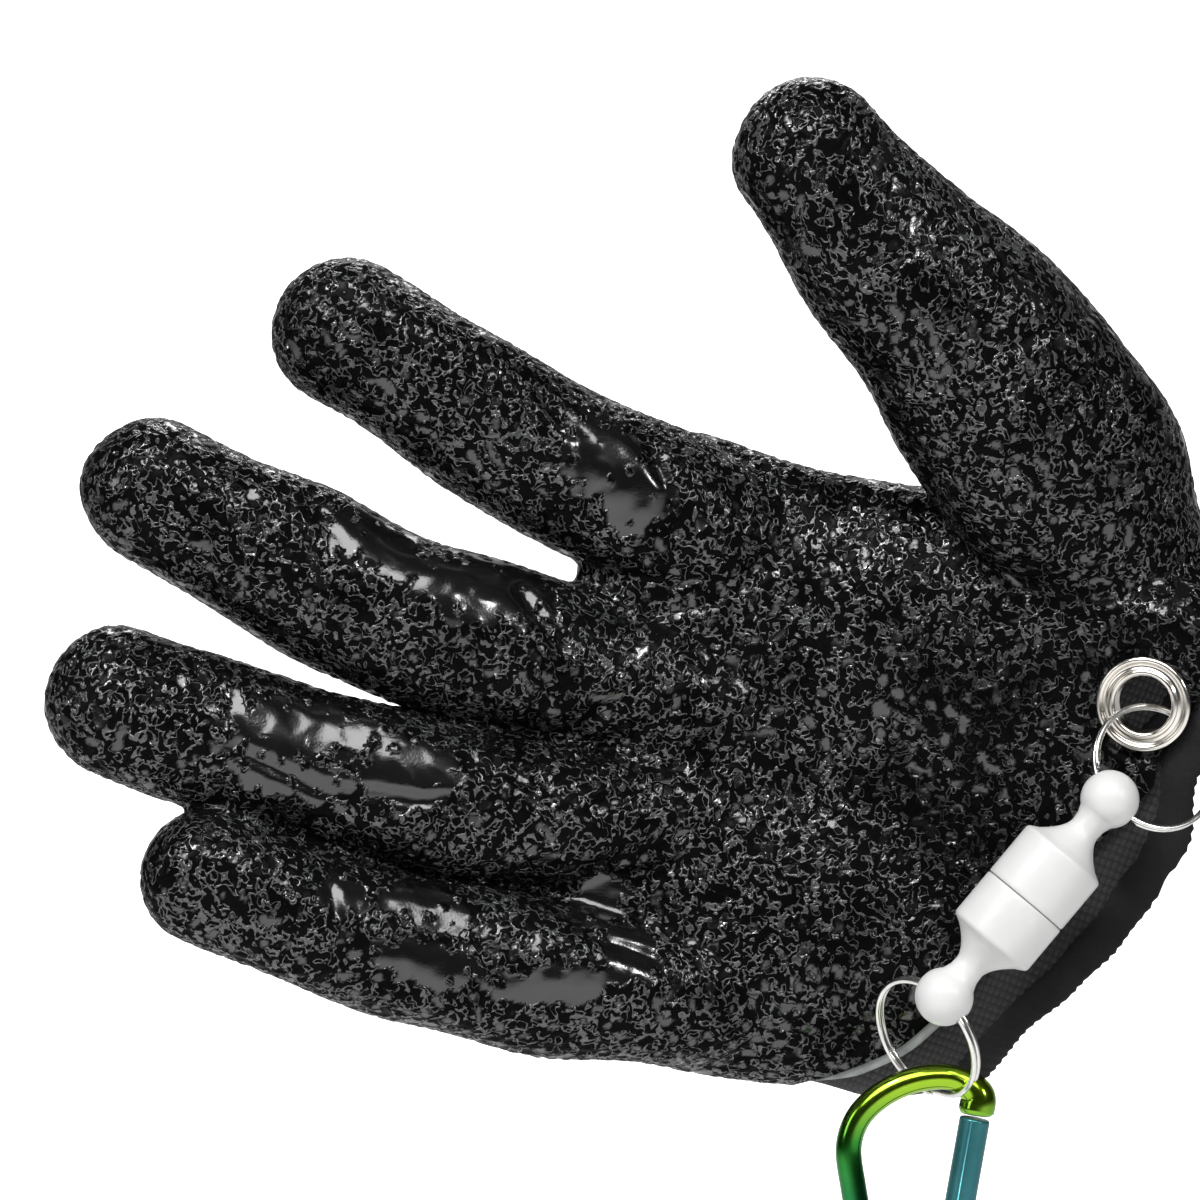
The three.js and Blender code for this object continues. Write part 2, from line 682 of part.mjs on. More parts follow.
// Carabiner, in its own frame: x to the gate, z up, the middle line's points as shares of its
// width and length from the top of the bow. The gate side is closed by the gate.
const bowPoints = [
  [0.36, -0.13], [0.372, -0.062], [0.23, -0.006], [0.02, -0.003], [-0.22, -0.05], [-0.40, -0.135],
  [-0.47, -0.235], [-0.44, -0.39], [-0.36, -0.60], [-0.27, -0.84], [-0.14, -0.955], [0.02, -0.96],
  [0.13, -0.905], [0.115, -0.80],
];
const bowSteps = 36;
const bowSides = 8;
const noseShare = 0.10; // share of the bow that is thickened to the nose
const tangLength = 6.2; // flat end of the bow inside the gate
const hitchShare = 0.135; // place on the bow that lies in the lower ring

const bowPlaces = bowPoints.map(([x, z]) => new THREE.Vector3(x * carabinerWidth, 0, z * carabinerLength));
const bowCurve = new THREE.CatmullRomCurve3(bowPlaces, false, "centripetal");
const bowEnd = bowCurve.getPointAt(1);
const noseEnd = bowCurve.getPointAt(0);
const tangDirection = bowCurve.getTangentAt(1);
const hinge = bowEnd.clone().addScaledVector(tangDirection, -2.2);
const gateLine = noseEnd.clone().sub(hinge);
const gateLength = gateLine.length() - 2 * runningGap;

function tube(curve, steps, sides, radiusAt, inPlane) {
  const loops = [];
  for (let k = 0; k <= steps; k += 1) {
    const share = k / steps;
    const centre = curve.getPointAt(share);
    const side = curve.getTangentAt(share).cross(inPlane).normalize();
    loops.push(Array.from({ length: sides }, (_, i) => {
      const turn = i / sides * 2 * Math.PI;
      return centre.clone()
        .addScaledVector(side, radiusAt(share) * Math.cos(turn))
        .addScaledVector(inPlane, radiusAt(share) * Math.sin(turn));
    }));
  }
  return skin(loops);
}

const rivetHole = rivetDiameter / 2 + runningGap;
const rivetFrame = frameFrom(hinge, new THREE.Vector3(0, 1, 0), new THREE.Vector3(1, 0, 0));

function carabinerBody() {
  const [thin, thick] = [rodDiameter / 2, noseDiameter / 2];
  const radiusAt = (share) => thick - (thick - thin) * THREE.MathUtils.smoothstep(share, 0.02, noseShare);
  let body = tube(bowCurve, bowSteps, bowSides, radiusAt, new THREE.Vector3(0, 1, 0));
  const tangMiddle = bowEnd.clone().addScaledVector(tangDirection, -tangLength / 2 + 1);
  const tangFrame = frameFrom(tangMiddle, tangDirection, new THREE.Vector3(1, 0, 0));
  for (const side of [-1, 1]) {
    const cheek = new THREE.BoxGeometry(3 * rodDiameter, rodDiameter, tangLength + 2);
    cheek.translate(0, side * (rodDiameter + tangThickness) / 2, 0);
    body = body.subtract(solidOf(cheek, tangFrame));
  }
  return body.subtract(solidOf(rod(rivetHole, -rodDiameter, rodDiameter, 12), rivetFrame));
}

// Gate: round rod from the hinge to the nose, forked over the bow's flat end.
const gateFrame = frameFrom(hinge, gateLine, new THREE.Vector3(1, 0, 0));

function carabinerGate() {
  const radius = gateDiameter / 2;
  const top = gateLength;
  const profile = [[0, -radius], [0.6 * radius, -0.8 * radius], [0.92 * radius, -0.4 * radius], [radius, 0],
    [radius, top - 0.4], [radius - 0.4, top], [0, top]];
  const forkReach = bowEnd.distanceTo(hinge) + 1.4;
  const fork = new THREE.BoxGeometry(3 * radius, tangThickness + 2 * runningGap, 2 * forkReach);
  const across = new THREE.Matrix4().makeRotationX(Math.PI / 2);
  return solidOf(turned(profile, 16))
    .subtract(solidOf(fork))
    .subtract(solidOf(rod(rivetHole, -gateDiameter, gateDiameter, 12), across));
}

function rivetProfile() {
  const shaft = rivetDiameter / 2;
  const head = rivetHead / 2;
  const reach = gateDiameter / 2 + runningGap;
  const top = reach + rivetHeadHeight;
  return [
    [0, -top], [0.7 * head, -top], [head, -reach], [shaft, -reach],
    [shaft, reach], [head, reach], [0.7 * head, top], [0, top],
  ];
}

// The bow hangs in the lower ring: its hitch point lies one clearance above the ring's lowest wire.
const bowHitch = bowCurve.getPointAt(hitchShare);
const downInRing = flattened(new THREE.Vector3(0, 0, -1), lowerRingNormal);
const hitchDrop = ringRadius - ringWire / 2 - runningGap - 1.25 * rodDiameter / 2;
const carabinerPlace = lowerRingCentre.clone().addScaledVector(downInRing, hitchDrop).sub(bowHitch);

// Materials
function finish(color, roughness, metalness) {
  return new THREE.MeshStandardMaterial({ color, roughness, metalness });
}

const knit = finish(0x17181a, 0.95, 0);
const latex = finish(0x141516, 0.35, 0);
const nickel = finish(0xc9c6c0, 0.22, 1);
const steel = finish(0xd8d8d6, 0.2, 1);
const plastic = finish(0xf2f2f0, 0.4, 0);
const greenAlloy = finish(0x2f9a33, 0.25, 0.9);
const tealAlloy = finish(0x2d7f86, 0.35, 0.7);

function piece(name, geometry, material) {
  const mesh = new THREE.Mesh(geometry, material);
  mesh.name = name;
  return mesh;
}

function placedAt(matrix, ...children) {
  const holder = new THREE.Group();
  matrix.decompose(holder.position, holder.quaternion, holder.scale);
  holder.add(...children);
  return holder;
}

const group = new THREE.Group();
group.add(glove);
glove.add(piece("knit_liner", geometryOf(knitLiner()), knit));
glove.add(piece("latex_coat", geometryOf(latexCoat()), latex));
glove.add(piece("cuff_hem", geometryOf(cuffHem()), knit));
glove.add(placedAt(seatFrame, piece("eyelet", geometryOf(solidOf(turned(eyeletProfile(), 16))), nickel)));
group.add(placedAt(upperRingFrame, piece("ring_upper", geometryOf(splitRing()), steel)));
group.add(placedAt(lowerRingFrame, piece("ring_lower", geometryOf(splitRing()), steel)));

// Each half stands on its parting face and points away from the other half.
const releaseHint = new THREE.Vector3(0, -1, 0);
const halves = [
  ["release_upper", upperBall, releaseAxis.clone().negate(), upperHalfLength, upperRingFrame, 0],
  ["release_lower", lowerBall, releaseAxis, lowerHalfLength, lowerRingFrame, lowerBallAngle],
];
for (const [name, ball, direction, length, ringFrame, angle] of halves) {
  const origin = ball.clone().addScaledVector(direction, -(length + ballReach));
  const frame = frameFrom(origin, direction, releaseHint);
  const way = ringWay(frame.clone().invert().multiply(ringFrame), angle);
  group.add(placedAt(frame, piece(name, geometryOf(solidOf(releaseHalf(length)).subtract(way)), plastic)));
}

const carabiner = new THREE.Group();
carabiner.position.copy(carabinerPlace);
carabiner.add(piece("carabiner_body", geometryOf(carabinerBody()), greenAlloy));
carabiner.add(placedAt(gateFrame, piece("carabiner_gate", geometryOf(carabinerGate()), tealAlloy)));
const rivet = geometryOf(solidOf(turned(rivetProfile(), 12)));
carabiner.add(placedAt(rivetFrame, piece("gate_rivet", rivet, steel)));
group.add(carabiner);

export default group;
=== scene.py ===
import math

import bmesh
import bpy
import numpy as np
from mathutils import Matrix, Vector


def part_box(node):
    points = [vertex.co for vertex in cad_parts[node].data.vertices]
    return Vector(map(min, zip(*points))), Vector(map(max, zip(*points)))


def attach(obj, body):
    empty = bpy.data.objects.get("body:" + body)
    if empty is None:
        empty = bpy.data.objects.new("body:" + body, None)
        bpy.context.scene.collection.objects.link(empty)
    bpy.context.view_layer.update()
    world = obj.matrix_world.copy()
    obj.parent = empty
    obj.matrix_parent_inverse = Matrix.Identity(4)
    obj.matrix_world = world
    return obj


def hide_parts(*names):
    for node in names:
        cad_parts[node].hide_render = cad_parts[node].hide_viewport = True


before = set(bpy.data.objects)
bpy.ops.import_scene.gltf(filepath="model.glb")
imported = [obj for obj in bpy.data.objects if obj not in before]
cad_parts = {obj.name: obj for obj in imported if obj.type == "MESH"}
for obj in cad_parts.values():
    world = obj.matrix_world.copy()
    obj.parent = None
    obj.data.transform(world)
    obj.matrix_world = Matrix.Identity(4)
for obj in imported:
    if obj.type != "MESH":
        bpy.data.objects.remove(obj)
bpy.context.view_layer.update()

# --- Camera, floor and light -----------------------------------------------------------------
# A long lens 0.6 m in front of the palm frames 200 mm of its plane. The floor and the backdrop
# are one plain pale sweep, lit by a large soft lamp above and one from each side.
camera_data = bpy.data.cameras.new("camera")
camera_data.lens = 108
camera_data.sensor_width = 36
camera_data.clip_start = 0.01
camera = bpy.data.objects.new("camera", camera_data)
camera.location = (-0.090, -0.600, 0.0463)
camera.rotation_euler = (math.radians(90), 0, 0)
bpy.context.scene.collection.objects.link(camera)
bpy.context.scene.camera = camera


def sweep_points(u, v):
    """Floor that turns up into a back wall: v runs along the floor, round a quarter circle and up."""
    low, back, radius = -0.26, 0.75, 0.5
    x = (u - 0.5) * 8
    arc = np.clip((v - 0.4) / 0.2, 0, 1) * math.pi / 2
    y = -2.5 + (back + 2.5) * np.clip(v / 0.4, 0, 1) + radius * np.sin(arc)
    z = low + radius * (1 - np.cos(arc)) + np.clip((v - 0.6) / 0.4, 0, 1) * 3
    return np.stack([x, y, z], -1)


def grid_mesh(name, points, closed_u=False, closed_v=False):
    """Mesh of quads over a grid of points shaped (rows, columns, 3)."""
    rows, columns = points.shape[:2]
    row = np.arange(rows if closed_u else rows - 1)
    column = np.arange(columns if closed_v else columns - 1)
    r, c = np.meshgrid(row, column, indexing="ij")
    r2, c2 = (r + 1) % rows, (c + 1) % columns
    quads = np.stack([r * columns + c, r2 * columns + c, r2 * columns + c2, r * columns + c2], -1)
    mesh = bpy.data.meshes.new(name)
    mesh.from_pydata(points.reshape(-1, 3), [], quads.reshape(-1, 4).tolist())
    mesh.validate()
    return mesh


def shown(name, mesh, material, smooth=True):
    """Puts a mesh into the scene as an object with its material, smooth shaded."""
    thing = bpy.data.objects.new(name, mesh)
    mesh.materials.clear()
    mesh.materials.append(material)
    mesh.polygons.foreach_set("use_smooth", np.full(len(mesh.polygons), smooth))
    bpy.context.scene.collection.objects.link(thing)
    return thing


backdrop_paint = bpy.data.materials.new("backdrop_paint")
backdrop_paint.use_nodes = True
backdrop_shader = backdrop_paint.node_tree.nodes["Principled BSDF"]
backdrop_shader.inputs["Base Color"].default_value = (0.93, 0.93, 0.93, 1)
backdrop_shader.inputs["Roughness"].default_value = 0.85
backdrop_shader.inputs["Emission Color"].default_value = (1, 1, 1, 1)
seen_straight = backdrop_paint.node_tree.nodes.new("ShaderNodeLightPath")
glow = backdrop_paint.node_tree.nodes.new("ShaderNodeMath")
glow.operation = "MULTIPLY"
glow.inputs[1].default_value = 0.95
backdrop_paint.node_tree.links.new(seen_straight.outputs["Is Camera Ray"], glow.inputs[0])
backdrop_paint.node_tree.links.new(glow.outputs["Value"], backdrop_shader.inputs["Emission Strength"])
u, v = np.meshgrid(np.linspace(0, 1, 3), np.linspace(0, 1, 61), indexing="ij")
backdrop = shown("backdrop", grid_mesh("backdrop", sweep_points(u, v)), backdrop_paint)


def lamp(name, place, aim, size, power):
    """Square area lamp at place, pointed at aim."""
    data = bpy.data.lights.new(name, "AREA")
    data.shape = "RECTANGLE"
    data.size, data.size_y = size
    data.energy = power
    thing = bpy.data.objects.new(name, data)
    thing.location = place
    direction = Vector(aim) - Vector(place)
    thing.rotation_euler = direction.to_track_quat("-Z", "Y").to_euler()
    bpy.context.scene.collection.objects.link(thing)


middle = (-0.085, 0, 0.045)
lamp("lamp_over", (-0.20, -0.70, 0.75), middle, (1.1, 0.55), 13)
lamp("lamp_key", (-0.45, -0.60, 0.85), middle, (0.12, 0.12), 6)
lamp("lamp_left", (-1.0, -0.55, 0.30), middle, (0.30, 0.5), 1.5)
lamp("lamp_right", (0.80, -0.90, 0.50), middle, (0.16, 0.2), 4)
lamp("lamp_back", (-0.1, 0.75, 0.85), middle, (0.6, 0.4), 5)
world = bpy.data.worlds.new("studio")
world.use_nodes = True
world.node_tree.nodes["Background"].inputs["Color"].default_value = (1, 1, 1, 1)
world_light = world.node_tree.nodes["Background"]
seen_straight = world.node_tree.nodes.new("ShaderNodeLightPath")
strength = world.node_tree.nodes.new("ShaderNodeMapRange")
strength.inputs["To Min"].default_value = 0.05
strength.inputs["To Max"].default_value = 0.95
world.node_tree.links.new(seen_straight.outputs["Is Camera Ray"], strength.inputs["Value"])
world.node_tree.links.new(strength.outputs["Result"], world_light.inputs["Strength"])
bpy.context.scene.world = world
bpy.context.scene.view_settings.view_transform = "Standard"

# --- Form of the glove -----------------------------------------------------------------------
# The knitted glove in its worn form: a cupped palm of oval sections and five digits that grow out
# of it. The latex and the knit are both laid on this one form, so they follow each other.
palm_length, palm_width, palm_depth = 0.108, 0.104, 0.040
glove_rise = math.radians(20)
palm_keys = np.array([0.00, 0.14, 0.26, 0.38, 0.50, 0.63, 0.76, 0.90, 1.00])
palm_thumb_edge = np.array([
    [-0.24, 0.48, 0.17], [-0.07, 0.50, 0.19], [0.10, 0.54, 0.20], [0.28, 0.54, 0.20], [0.48, 0.48, 0.12],
    [0.63, 0.44, 0.05], [0.78, 0.43, 0.00], [0.92, 0.41, 0.00], [1.00, 0.29, 0.05]])
palm_little_edge = np.array([
    [-0.13, -0.37, -0.27], [0.05, -0.40, -0.24], [0.16, -0.44, -0.20], [0.26, -0.49, -0.15],
    [0.36, -0.50, -0.10], [0.47, -0.52, -0.05], [0.61, -0.55, 0.00], [0.78, -0.58, 0.05],
    [0.87, -0.50, 0.10]])
palm_half = np.array([0.66, 0.60, 0.51, 0.45, 0.42, 0.40, 0.35, 0.27, 0.12])
palm_hollow = 0.006
palm_relief = [(0.55, 0.00, 0.30, 0.22, -1.0), (0.12, 0.02, 0.20, 0.16, -0.7), (0.34, -0.34, 0.22, 0.14, 0.3)]


def smooth_curve(keys, values, at):
    """Smooth curve through the rows: on each span a cubic whose end slopes are those between neighbours."""
    values = np.asarray(values, float).reshape(len(keys), -1)
    slopes = np.empty_like(values)
    slopes[1:-1] = (values[2:] - values[:-2]) / (keys[2:] - keys[:-2])[:, None]
    slopes[0] = (values[1] - values[0]) / (keys[1] - keys[0])
    slopes[-1] = (values[-1] - values[-2]) / (keys[-1] - keys[-2])
    at = np.asarray(at, float)
    k = np.clip(np.searchsorted(keys, at, side="right") - 1, 0, len(keys) - 2)
    width = keys[k + 1] - keys[k]
    f = np.clip((at - keys[k]) / width, 0, 1)[..., None]
    width = width[..., None]
    return (values[k] * (1 + 2 * f) * (1 - f) ** 2 + slopes[k] * width * f * (1 - f) ** 2
            + values[k + 1] * f * f * (3 - 2 * f) - slopes[k + 1] * width * f * f * (1 - f))


def glove_frame(point):
    """From the row frame to the glove's own frame (along, across, front)."""
    c, s = math.cos(glove_rise), math.sin(glove_rise)
    x = point[..., 0] * c - point[..., 2] * s
    z = point[..., 0] * s + point[..., 2] * c
    return np.stack([-x, z, -point[..., 1]], -1)


seat_place = glove_frame(np.array([-0.002603, -0.021877, 0.029680]))
seat_facing = glove_frame(np.array([-0.35182, -0.93087, -0.09853]))


def palm_points(at, turn, inset):
    """Squared oval between the thumb edge and the little-finger edge, half as deep as its row says,
    with the palm's hollows and mounds added to its front, and made flat round the eyelet."""
    size = np.array([palm_length, palm_width, palm_depth])
    thumb_edge = smooth_curve(palm_keys, palm_thumb_edge, at) * size
    little_edge = smooth_curve(palm_keys, palm_little_edge, at) * size
    half = smooth_curve(palm_keys, palm_half, at)[..., 0] * palm_depth - inset
    across = thumb_edge - little_edge
    width = np.linalg.norm(across, axis=-1, keepdims=True)
    across = across / width
    front = np.array([0.0, 0.0, 1.0])
    outward = front - across * across[..., 2:3]
    outward /= np.linalg.norm(outward, axis=-1, keepdims=True)
    rounded = lambda w: np.sign(w) * np.abs(w) ** (2 / 2.4)
    point = (thumb_edge + little_edge) / 2
    point = point + across * ((width[..., 0] / 2 - inset) * rounded(np.cos(turn)))[..., None]
    point = point + outward * (half * rounded(np.sin(turn)))[..., None]
    pull = np.clip((at - 0.8) / 0.2, 0, 1)
    point[..., 0] -= inset * pull * pull * (3 - 2 * pull)
    share = np.maximum(np.sin(turn), 0) ** 0.5
    rise = sum(palm_hollow * r * np.exp(-((point[..., 0] / palm_length - a) / sa) ** 2
                                        - ((point[..., 1] / palm_width - c) / sc) ** 2)
               for a, c, sa, sc, r in palm_relief)
    point[..., 2] += rise * share
    offset = point - seat_place
    height = offset @ seat_facing
    spread = np.linalg.norm(offset - height[..., None] * seat_facing, axis=-1)
    hold = np.clip((spread - 0.013) / 0.011, 0, 1)
    hold = (1 - hold * hold * (3 - 2 * hold)) * (np.sin(turn) > 0)
    return point - seat_facing * ((height + inset) * hold)[..., None]


def row_frame(point):
    """From the glove's own frame (along, across, front) to the row frame."""
    x, y, z = -point[..., 0], -point[..., 2], point[..., 1]
    c, s = math.cos(glove_rise), math.sin(glove_rise)
    return np.stack([x * c + z * s, y, -x * s + z * c], -1)


digits = {
    "index": ((0.675, 0.288, 0), 7.2, 0.0937, 0.0274, 0.9,
              [(0, 0, 0, 0.86), (0.29, -0.029, 0.043, 1.0), (0.52, -0.033, 0.075, 0.96),
               (0.74, -0.012, 0.107, 0.91), (1, 0, 0.139, 0.86)]),
    "middle": ((0.666, 0.026, 0), 1.5, 0.1145, 0.0278, 0.9,
               [(0, 0, 0, 0.86), (0.24, -0.017, 0.044, 0.93), (0.40, -0.037, 0.079, 0.98),
                (0.59, -0.041, 0.105, 1.0), (0.81, -0.015, 0.122, 0.89), (1, 0, 0.131, 0.84)]),
    "ring": ((0.619, -0.153, 0), -7.0, 0.1136, 0.0254, 0.92,
             [(0, 0, 0, 0.88), (0.25, -0.026, 0.062, 0.97), (0.43, -0.044, 0.097, 0.98),
              (0.61, -0.038, 0.123, 0.99), (0.81, -0.019, 0.150, 1.0), (1, 0, 0.167, 0.93)]),
    "little": ((0.494, -0.369, 0), -6.2, 0.1027, 0.0264, 0.92,
               [(0, 0, 0, 0.90), (0.19, -0.042, 0.049, 1.0), (0.41, -0.060, 0.107, 0.97),
                (0.60, -0.063, 0.146, 0.89), (0.80, -0.040, 0.185, 0.86), (1, 0, 0.214, 0.82)]),
    "thumb": ((0.13, 0.404, 0.17), 31.5, 0.1048, 0.0416, 0.82,
              [(0, 0, 0, 0.62), (0.27, 0.017, 0.067, 0.98), (0.51, 0.023, 0.143, 0.89),
               (0.66, 0.003, 0.191, 0.75), (0.84, -0.006, 0.229, 0.62), (1, 0, 0.258, 0.57)]),
}


def digit_points(digit, share, turn, inset):
    """Oval sections along the digit's bent middle line, closed by a dome: past the dome's start
    the section moves on by a sine and narrows by a cosine."""
    root, heading, length, width, flatness, rows = digit
    rows = np.array(rows)
    heading = math.radians(heading)
    ahead = np.array([math.cos(heading), math.sin(heading), 0])
    aside = np.array([-math.sin(heading), math.cos(heading), 0])
    front = np.array([0, 0, 1.0])
    start = np.array(root) * np.array([palm_length, palm_width, palm_depth])

    def middle(s):
        row = smooth_curve(rows[:, 0], rows[:, 1:], s)
        place = start + ahead * (s * length)[..., None] + aside * row[..., 0:1] * length
        return place + front * row[..., 1:2] * length, row[..., 2] * width / 2

    dome = rows[-1, 3] * width / 2
    dome_start = 1 - dome / length
    body = np.minimum(share, 1) * dome_start
    angle = np.clip(share - 1, 0, 1) * math.pi / 2
    centre, half = middle(body)
    direction = middle(body + 0.02)[0] - middle(body - 0.02)[0]
    direction /= np.linalg.norm(direction, axis=-1, keepdims=True)
    side = np.cross(direction, front)
    side /= np.linalg.norm(side, axis=-1, keepdims=True)
    depth = np.cross(side, direction)
    narrow = np.cos(angle)
    point = centre + direction * ((dome - inset) * np.sin(angle))[..., None]
    point = point + side * ((half - inset) * narrow * np.cos(turn))[..., None]
    return point + depth * ((half * flatness - inset) * narrow * np.sin(turn))[..., None]


def closed_loft(name, points):
    """Tube of quads round the columns, its two ends closed by fans of triangles."""
    mesh = grid_mesh(name, points, closed_v=True)
    bm = bmesh.new()
    bm.from_mesh(mesh)
    bmesh.ops.holes_fill(bm, edges=[e for e in bm.edges if e.is_boundary], sides=0)
    bmesh.ops.recalc_face_normals(bm, faces=bm.faces)
    bm.to_mesh(mesh)
    bm.free()
    return mesh


def glove_form(inset, voxel, smoothing):
    """Palm and digits joined into one even skin of voxel-sized quads, with the webs smoothed."""
    form = []
    at, turn = np.meshgrid(np.linspace(0, 1, 60), np.linspace(0, 2 * math.pi, 97)[:-1], indexing="ij")
    form.append(closed_loft("palm", row_frame(palm_points(at, turn, inset))))
    for name, digit in digits.items():
        share, turn = np.meshgrid(
            np.concatenate([np.linspace(0, 1, 50), 1 + np.linspace(0.05, 0.97, 14)]),
            np.linspace(0, 2 * math.pi, 65)[:-1], indexing="ij")
        form.append(closed_loft(name, row_frame(digit_points(digit, share, turn, inset))))
    joined = bmesh.new()
    for mesh in form:
        joined.from_mesh(mesh)
        bpy.data.meshes.remove(mesh)
    mesh = bpy.data.meshes.new("form")
    joined.to_mesh(mesh)
    joined.free()
    thing = bpy.data.objects.new("form", mesh)
    bpy.context.scene.collection.objects.link(thing)
    remesh = thing.modifiers.new("remesh", "REMESH")
    remesh.mode = "VOXEL"
    remesh.voxel_size = voxel
    relax = thing.modifiers.new("relax", "SMOOTH")
    relax.factor = 0.5
    relax.iterations = smoothing
    depsgraph = bpy.context.evaluated_depsgraph_get()
    result = bpy.data.meshes.new_from_object(thing.evaluated_get(depsgraph))
    bpy.data.objects.remove(thing)
    count = len(result.vertices)
    place = np.empty(count * 3)
    result.vertices.foreach_get("co", place)
    normal = np.empty(count * 3)
    result.vertices.foreach_get("normal", normal)
    sides = np.empty(len(result.polygons), int)
    result.polygons.foreach_get("loop_total", sides)
    corners = np.empty(len(result.loops), int)
    result.loops.foreach_get("vertex_index", corners)
    quads = corners.reshape(-1, 4) if (sides == 4).all() else None
    if quads is None:
        raise SystemExit("remesh gave faces that aren't quads")
    return place.reshape(-1, 3), normal.reshape(-1, 3), quads


def blurred_step(low, high, value):
    """0 below low, 1 above high, and a smooth cubic between."""
    f = np.clip((value - low) / (high - low), 0, 1)
    return f * f * (3 - 2 * f)


def mottle(place, wavelength, waves, seed):
    """Even, directionless pattern: a sum of plane waves of one wavelength in random directions."""
    rng = np.random.default_rng(seed)
    direction = rng.normal(size=(waves, 3))
    direction /= np.linalg.norm(direction, axis=1, keepdims=True)
    spread = rng.uniform(0.85, 1.18, size=waves)
    phase = rng.uniform(0, 2 * math.pi, size=waves)
    total = np.zeros(len(place))
    for d, s, p in zip(direction, spread, phase):
        total += np.cos(place @ d * (2 * math.pi / wavelength * s) + p)
    return total / math.sqrt(waves / 2)


hem_edge = np.array([
    [-0.60, 0.150], [-0.42, 0.125], [-0.30, 0.100], [-0.20, 0.055], [-0.09, 0.012], [0.02, -0.014],
    [0.12, -0.031], [0.24, -0.028], [0.36, -0.022], [0.50, -0.045], [0.80, -0.065]])
coat_edge = np.array([
    [-0.60, 0.43], [-0.51, 0.40], [-0.45, 0.335], [-0.36, 0.26], [-0.10, 0.16], [0.15, 0.06],
    [0.32, 0.05], [0.54, 0.03], [0.80, 0.016]])
hem_width, hem_thickness = 0.0065, 0.0028
eyelet_across = 0.027


def hem_line(across):
    """Where the hem's edge lies, along the glove, with the tuck where the upper ring gathers it."""
    share = np.clip(across / palm_width, -0.6, 0.8)
    tuck = 0.0036 * np.exp(-((across - eyelet_across + 0.0075) / 0.008) ** 2)
    return smooth_curve(hem_edge[:, 0], hem_edge[:, 1], share)[..., 0] * palm_length + tuck


def coat_line(across):
    """Where the latex ends, along the glove: its own line, and always clear of the hem."""
    share = np.clip(across / palm_width, -0.6, 0.8)
    line = smooth_curve(coat_edge[:, 0], coat_edge[:, 1], share)[..., 0] * palm_length
    return np.maximum(line, hem_line(across) + hem_width + 0.0008)


# --- Latex coat ------------------------------------------------------------------------------
# The front of the glove was dipped in black latex that wrinkled as it cured, so it is covered in
# short worm-like ridges. Where water has filled them it is smooth and glossy. Bare over the back.
coat_inset, coat_wall = 0.0, 0.0010
place, normal, quads = glove_form(coat_inset, 0.00060, 16)

bare_back = np.array([
    [-0.6, -0.26], [0.2, -0.22], [0.55, -0.18], [0.88, -0.08], [1.08, 0.06], [1.19, 0.10], [1.25, -0.1],
    [1.28, -2.0]])


def coat_reach(point):
    """Distance inside the latex's outline: along from its cuff edge, and away from the bare back."""
    along, across, front = glove_frame(point).T
    from_cuff = along - coat_line(across)
    line = bare_back * np.array([palm_length, palm_depth])
    front_line = np.interp(along, line[:6, 0], line[:6, 1])
    from_back = front - front_line
    past_tip = along - np.interp(front, line[5:, 1][::-1], line[5:, 0][::-1])
    return np.minimum(from_cuff, np.maximum(from_back, past_tip))


reach = coat_reach(place)
inside = reach[quads].mean(axis=1) > 0
quads = quads[inside]
used = np.unique(quads)
renumber = np.full(len(place), -1)
renumber[used] = np.arange(len(used))
place, normal, quads = place[used], normal[used], renumber[quads]
edges = np.sort(np.concatenate([quads[:, [0, 1]], quads[:, [1, 2]], quads[:, [2, 3]], quads[:, [3, 0]]]), axis=1)
edges, uses = np.unique(edges, axis=0, return_counts=True)
rim = np.unique(edges[uses == 1])
for _ in range(3):
    here = coat_reach(place[rim])
    step = 1e-4
    slope = np.stack([(coat_reach(place[rim] + step * axis) - here) / step for axis in np.eye(3)], -1)
    slope -= normal[rim] * (slope * normal[rim]).sum(1, keepdims=True)
    size = np.maximum((slope ** 2).sum(1, keepdims=True), 0.05)
    place[rim] -= np.clip(here[:, None] * slope / size, -0.0007, 0.0007)

along, across, front = glove_frame(place).T
px = 600 + (place[:, 0] + 0.090) * 6000 * 0.6 / (0.6 + place[:, 1])
py = 600 - (place[:, 2] - 0.0463) * 6000 * 0.6 / (0.6 + place[:, 1])
facing = np.clip(-normal[:, 1], 0, 1)


def patch(cx, cy, half_long, half_wide, lean):
    """Oval patch of the front, in the photograph's plane: 1 at its middle and 0 from its edge on."""
    c, s = math.cos(math.radians(lean)), math.sin(math.radians(lean))
    dx, dy = px - cx, py - cy
    a, b = (dx * c + dy * s) / half_long, (-dx * s + dy * c) / half_wide
    return np.clip(1 - (a * a + b * b), 0, 1) * blurred_step(0.1, 0.35, facing)


wet_patches = [
    (600, 455, 52, 50, 20), (640, 500, 40, 45, 60), (385, 545, 75, 34, 28), (480, 590, 100, 42, 14),
    (300, 728, 110, 40, 12), (290, 778, 70, 26, 12), (410, 775, 75, 44, 10), (425, 905, 55, 30, 20),
    (345, 895, 30, 24, 20), (430, 965, 70, 30, 14), (560, 985, 75, 26, -4), (640, 955, 40, 34, 0),
    (600, 900, 38, 30, -30),
]
wet = np.zeros(len(place))
for oval in wet_patches:
    wet = np.maximum(wet, patch(*oval))
seat_distance = np.hypot(px - 1141, (py - 707) * 0.92)
flat_seat = 1 - blurred_step(62, 92, seat_distance)
blotch = 0.5 * mottle(place, 0.0100, 18, 5) + 1.2 * mottle(place, 0.0030, 36, 6)
pool = blurred_step(-0.06, 0.14, wet * 2.8 - 0.85 + 0.55 * blotch)
calm = np.maximum(pool, flat_seat * (front > 0))
stretch = blurred_step(0.0, 1.0, patch(690, 700, 190, 130, -40))
rim_distance = coat_reach(place)
calm = np.maximum(calm, 1 - blurred_step(0.0006, 0.0026, rim_distance))

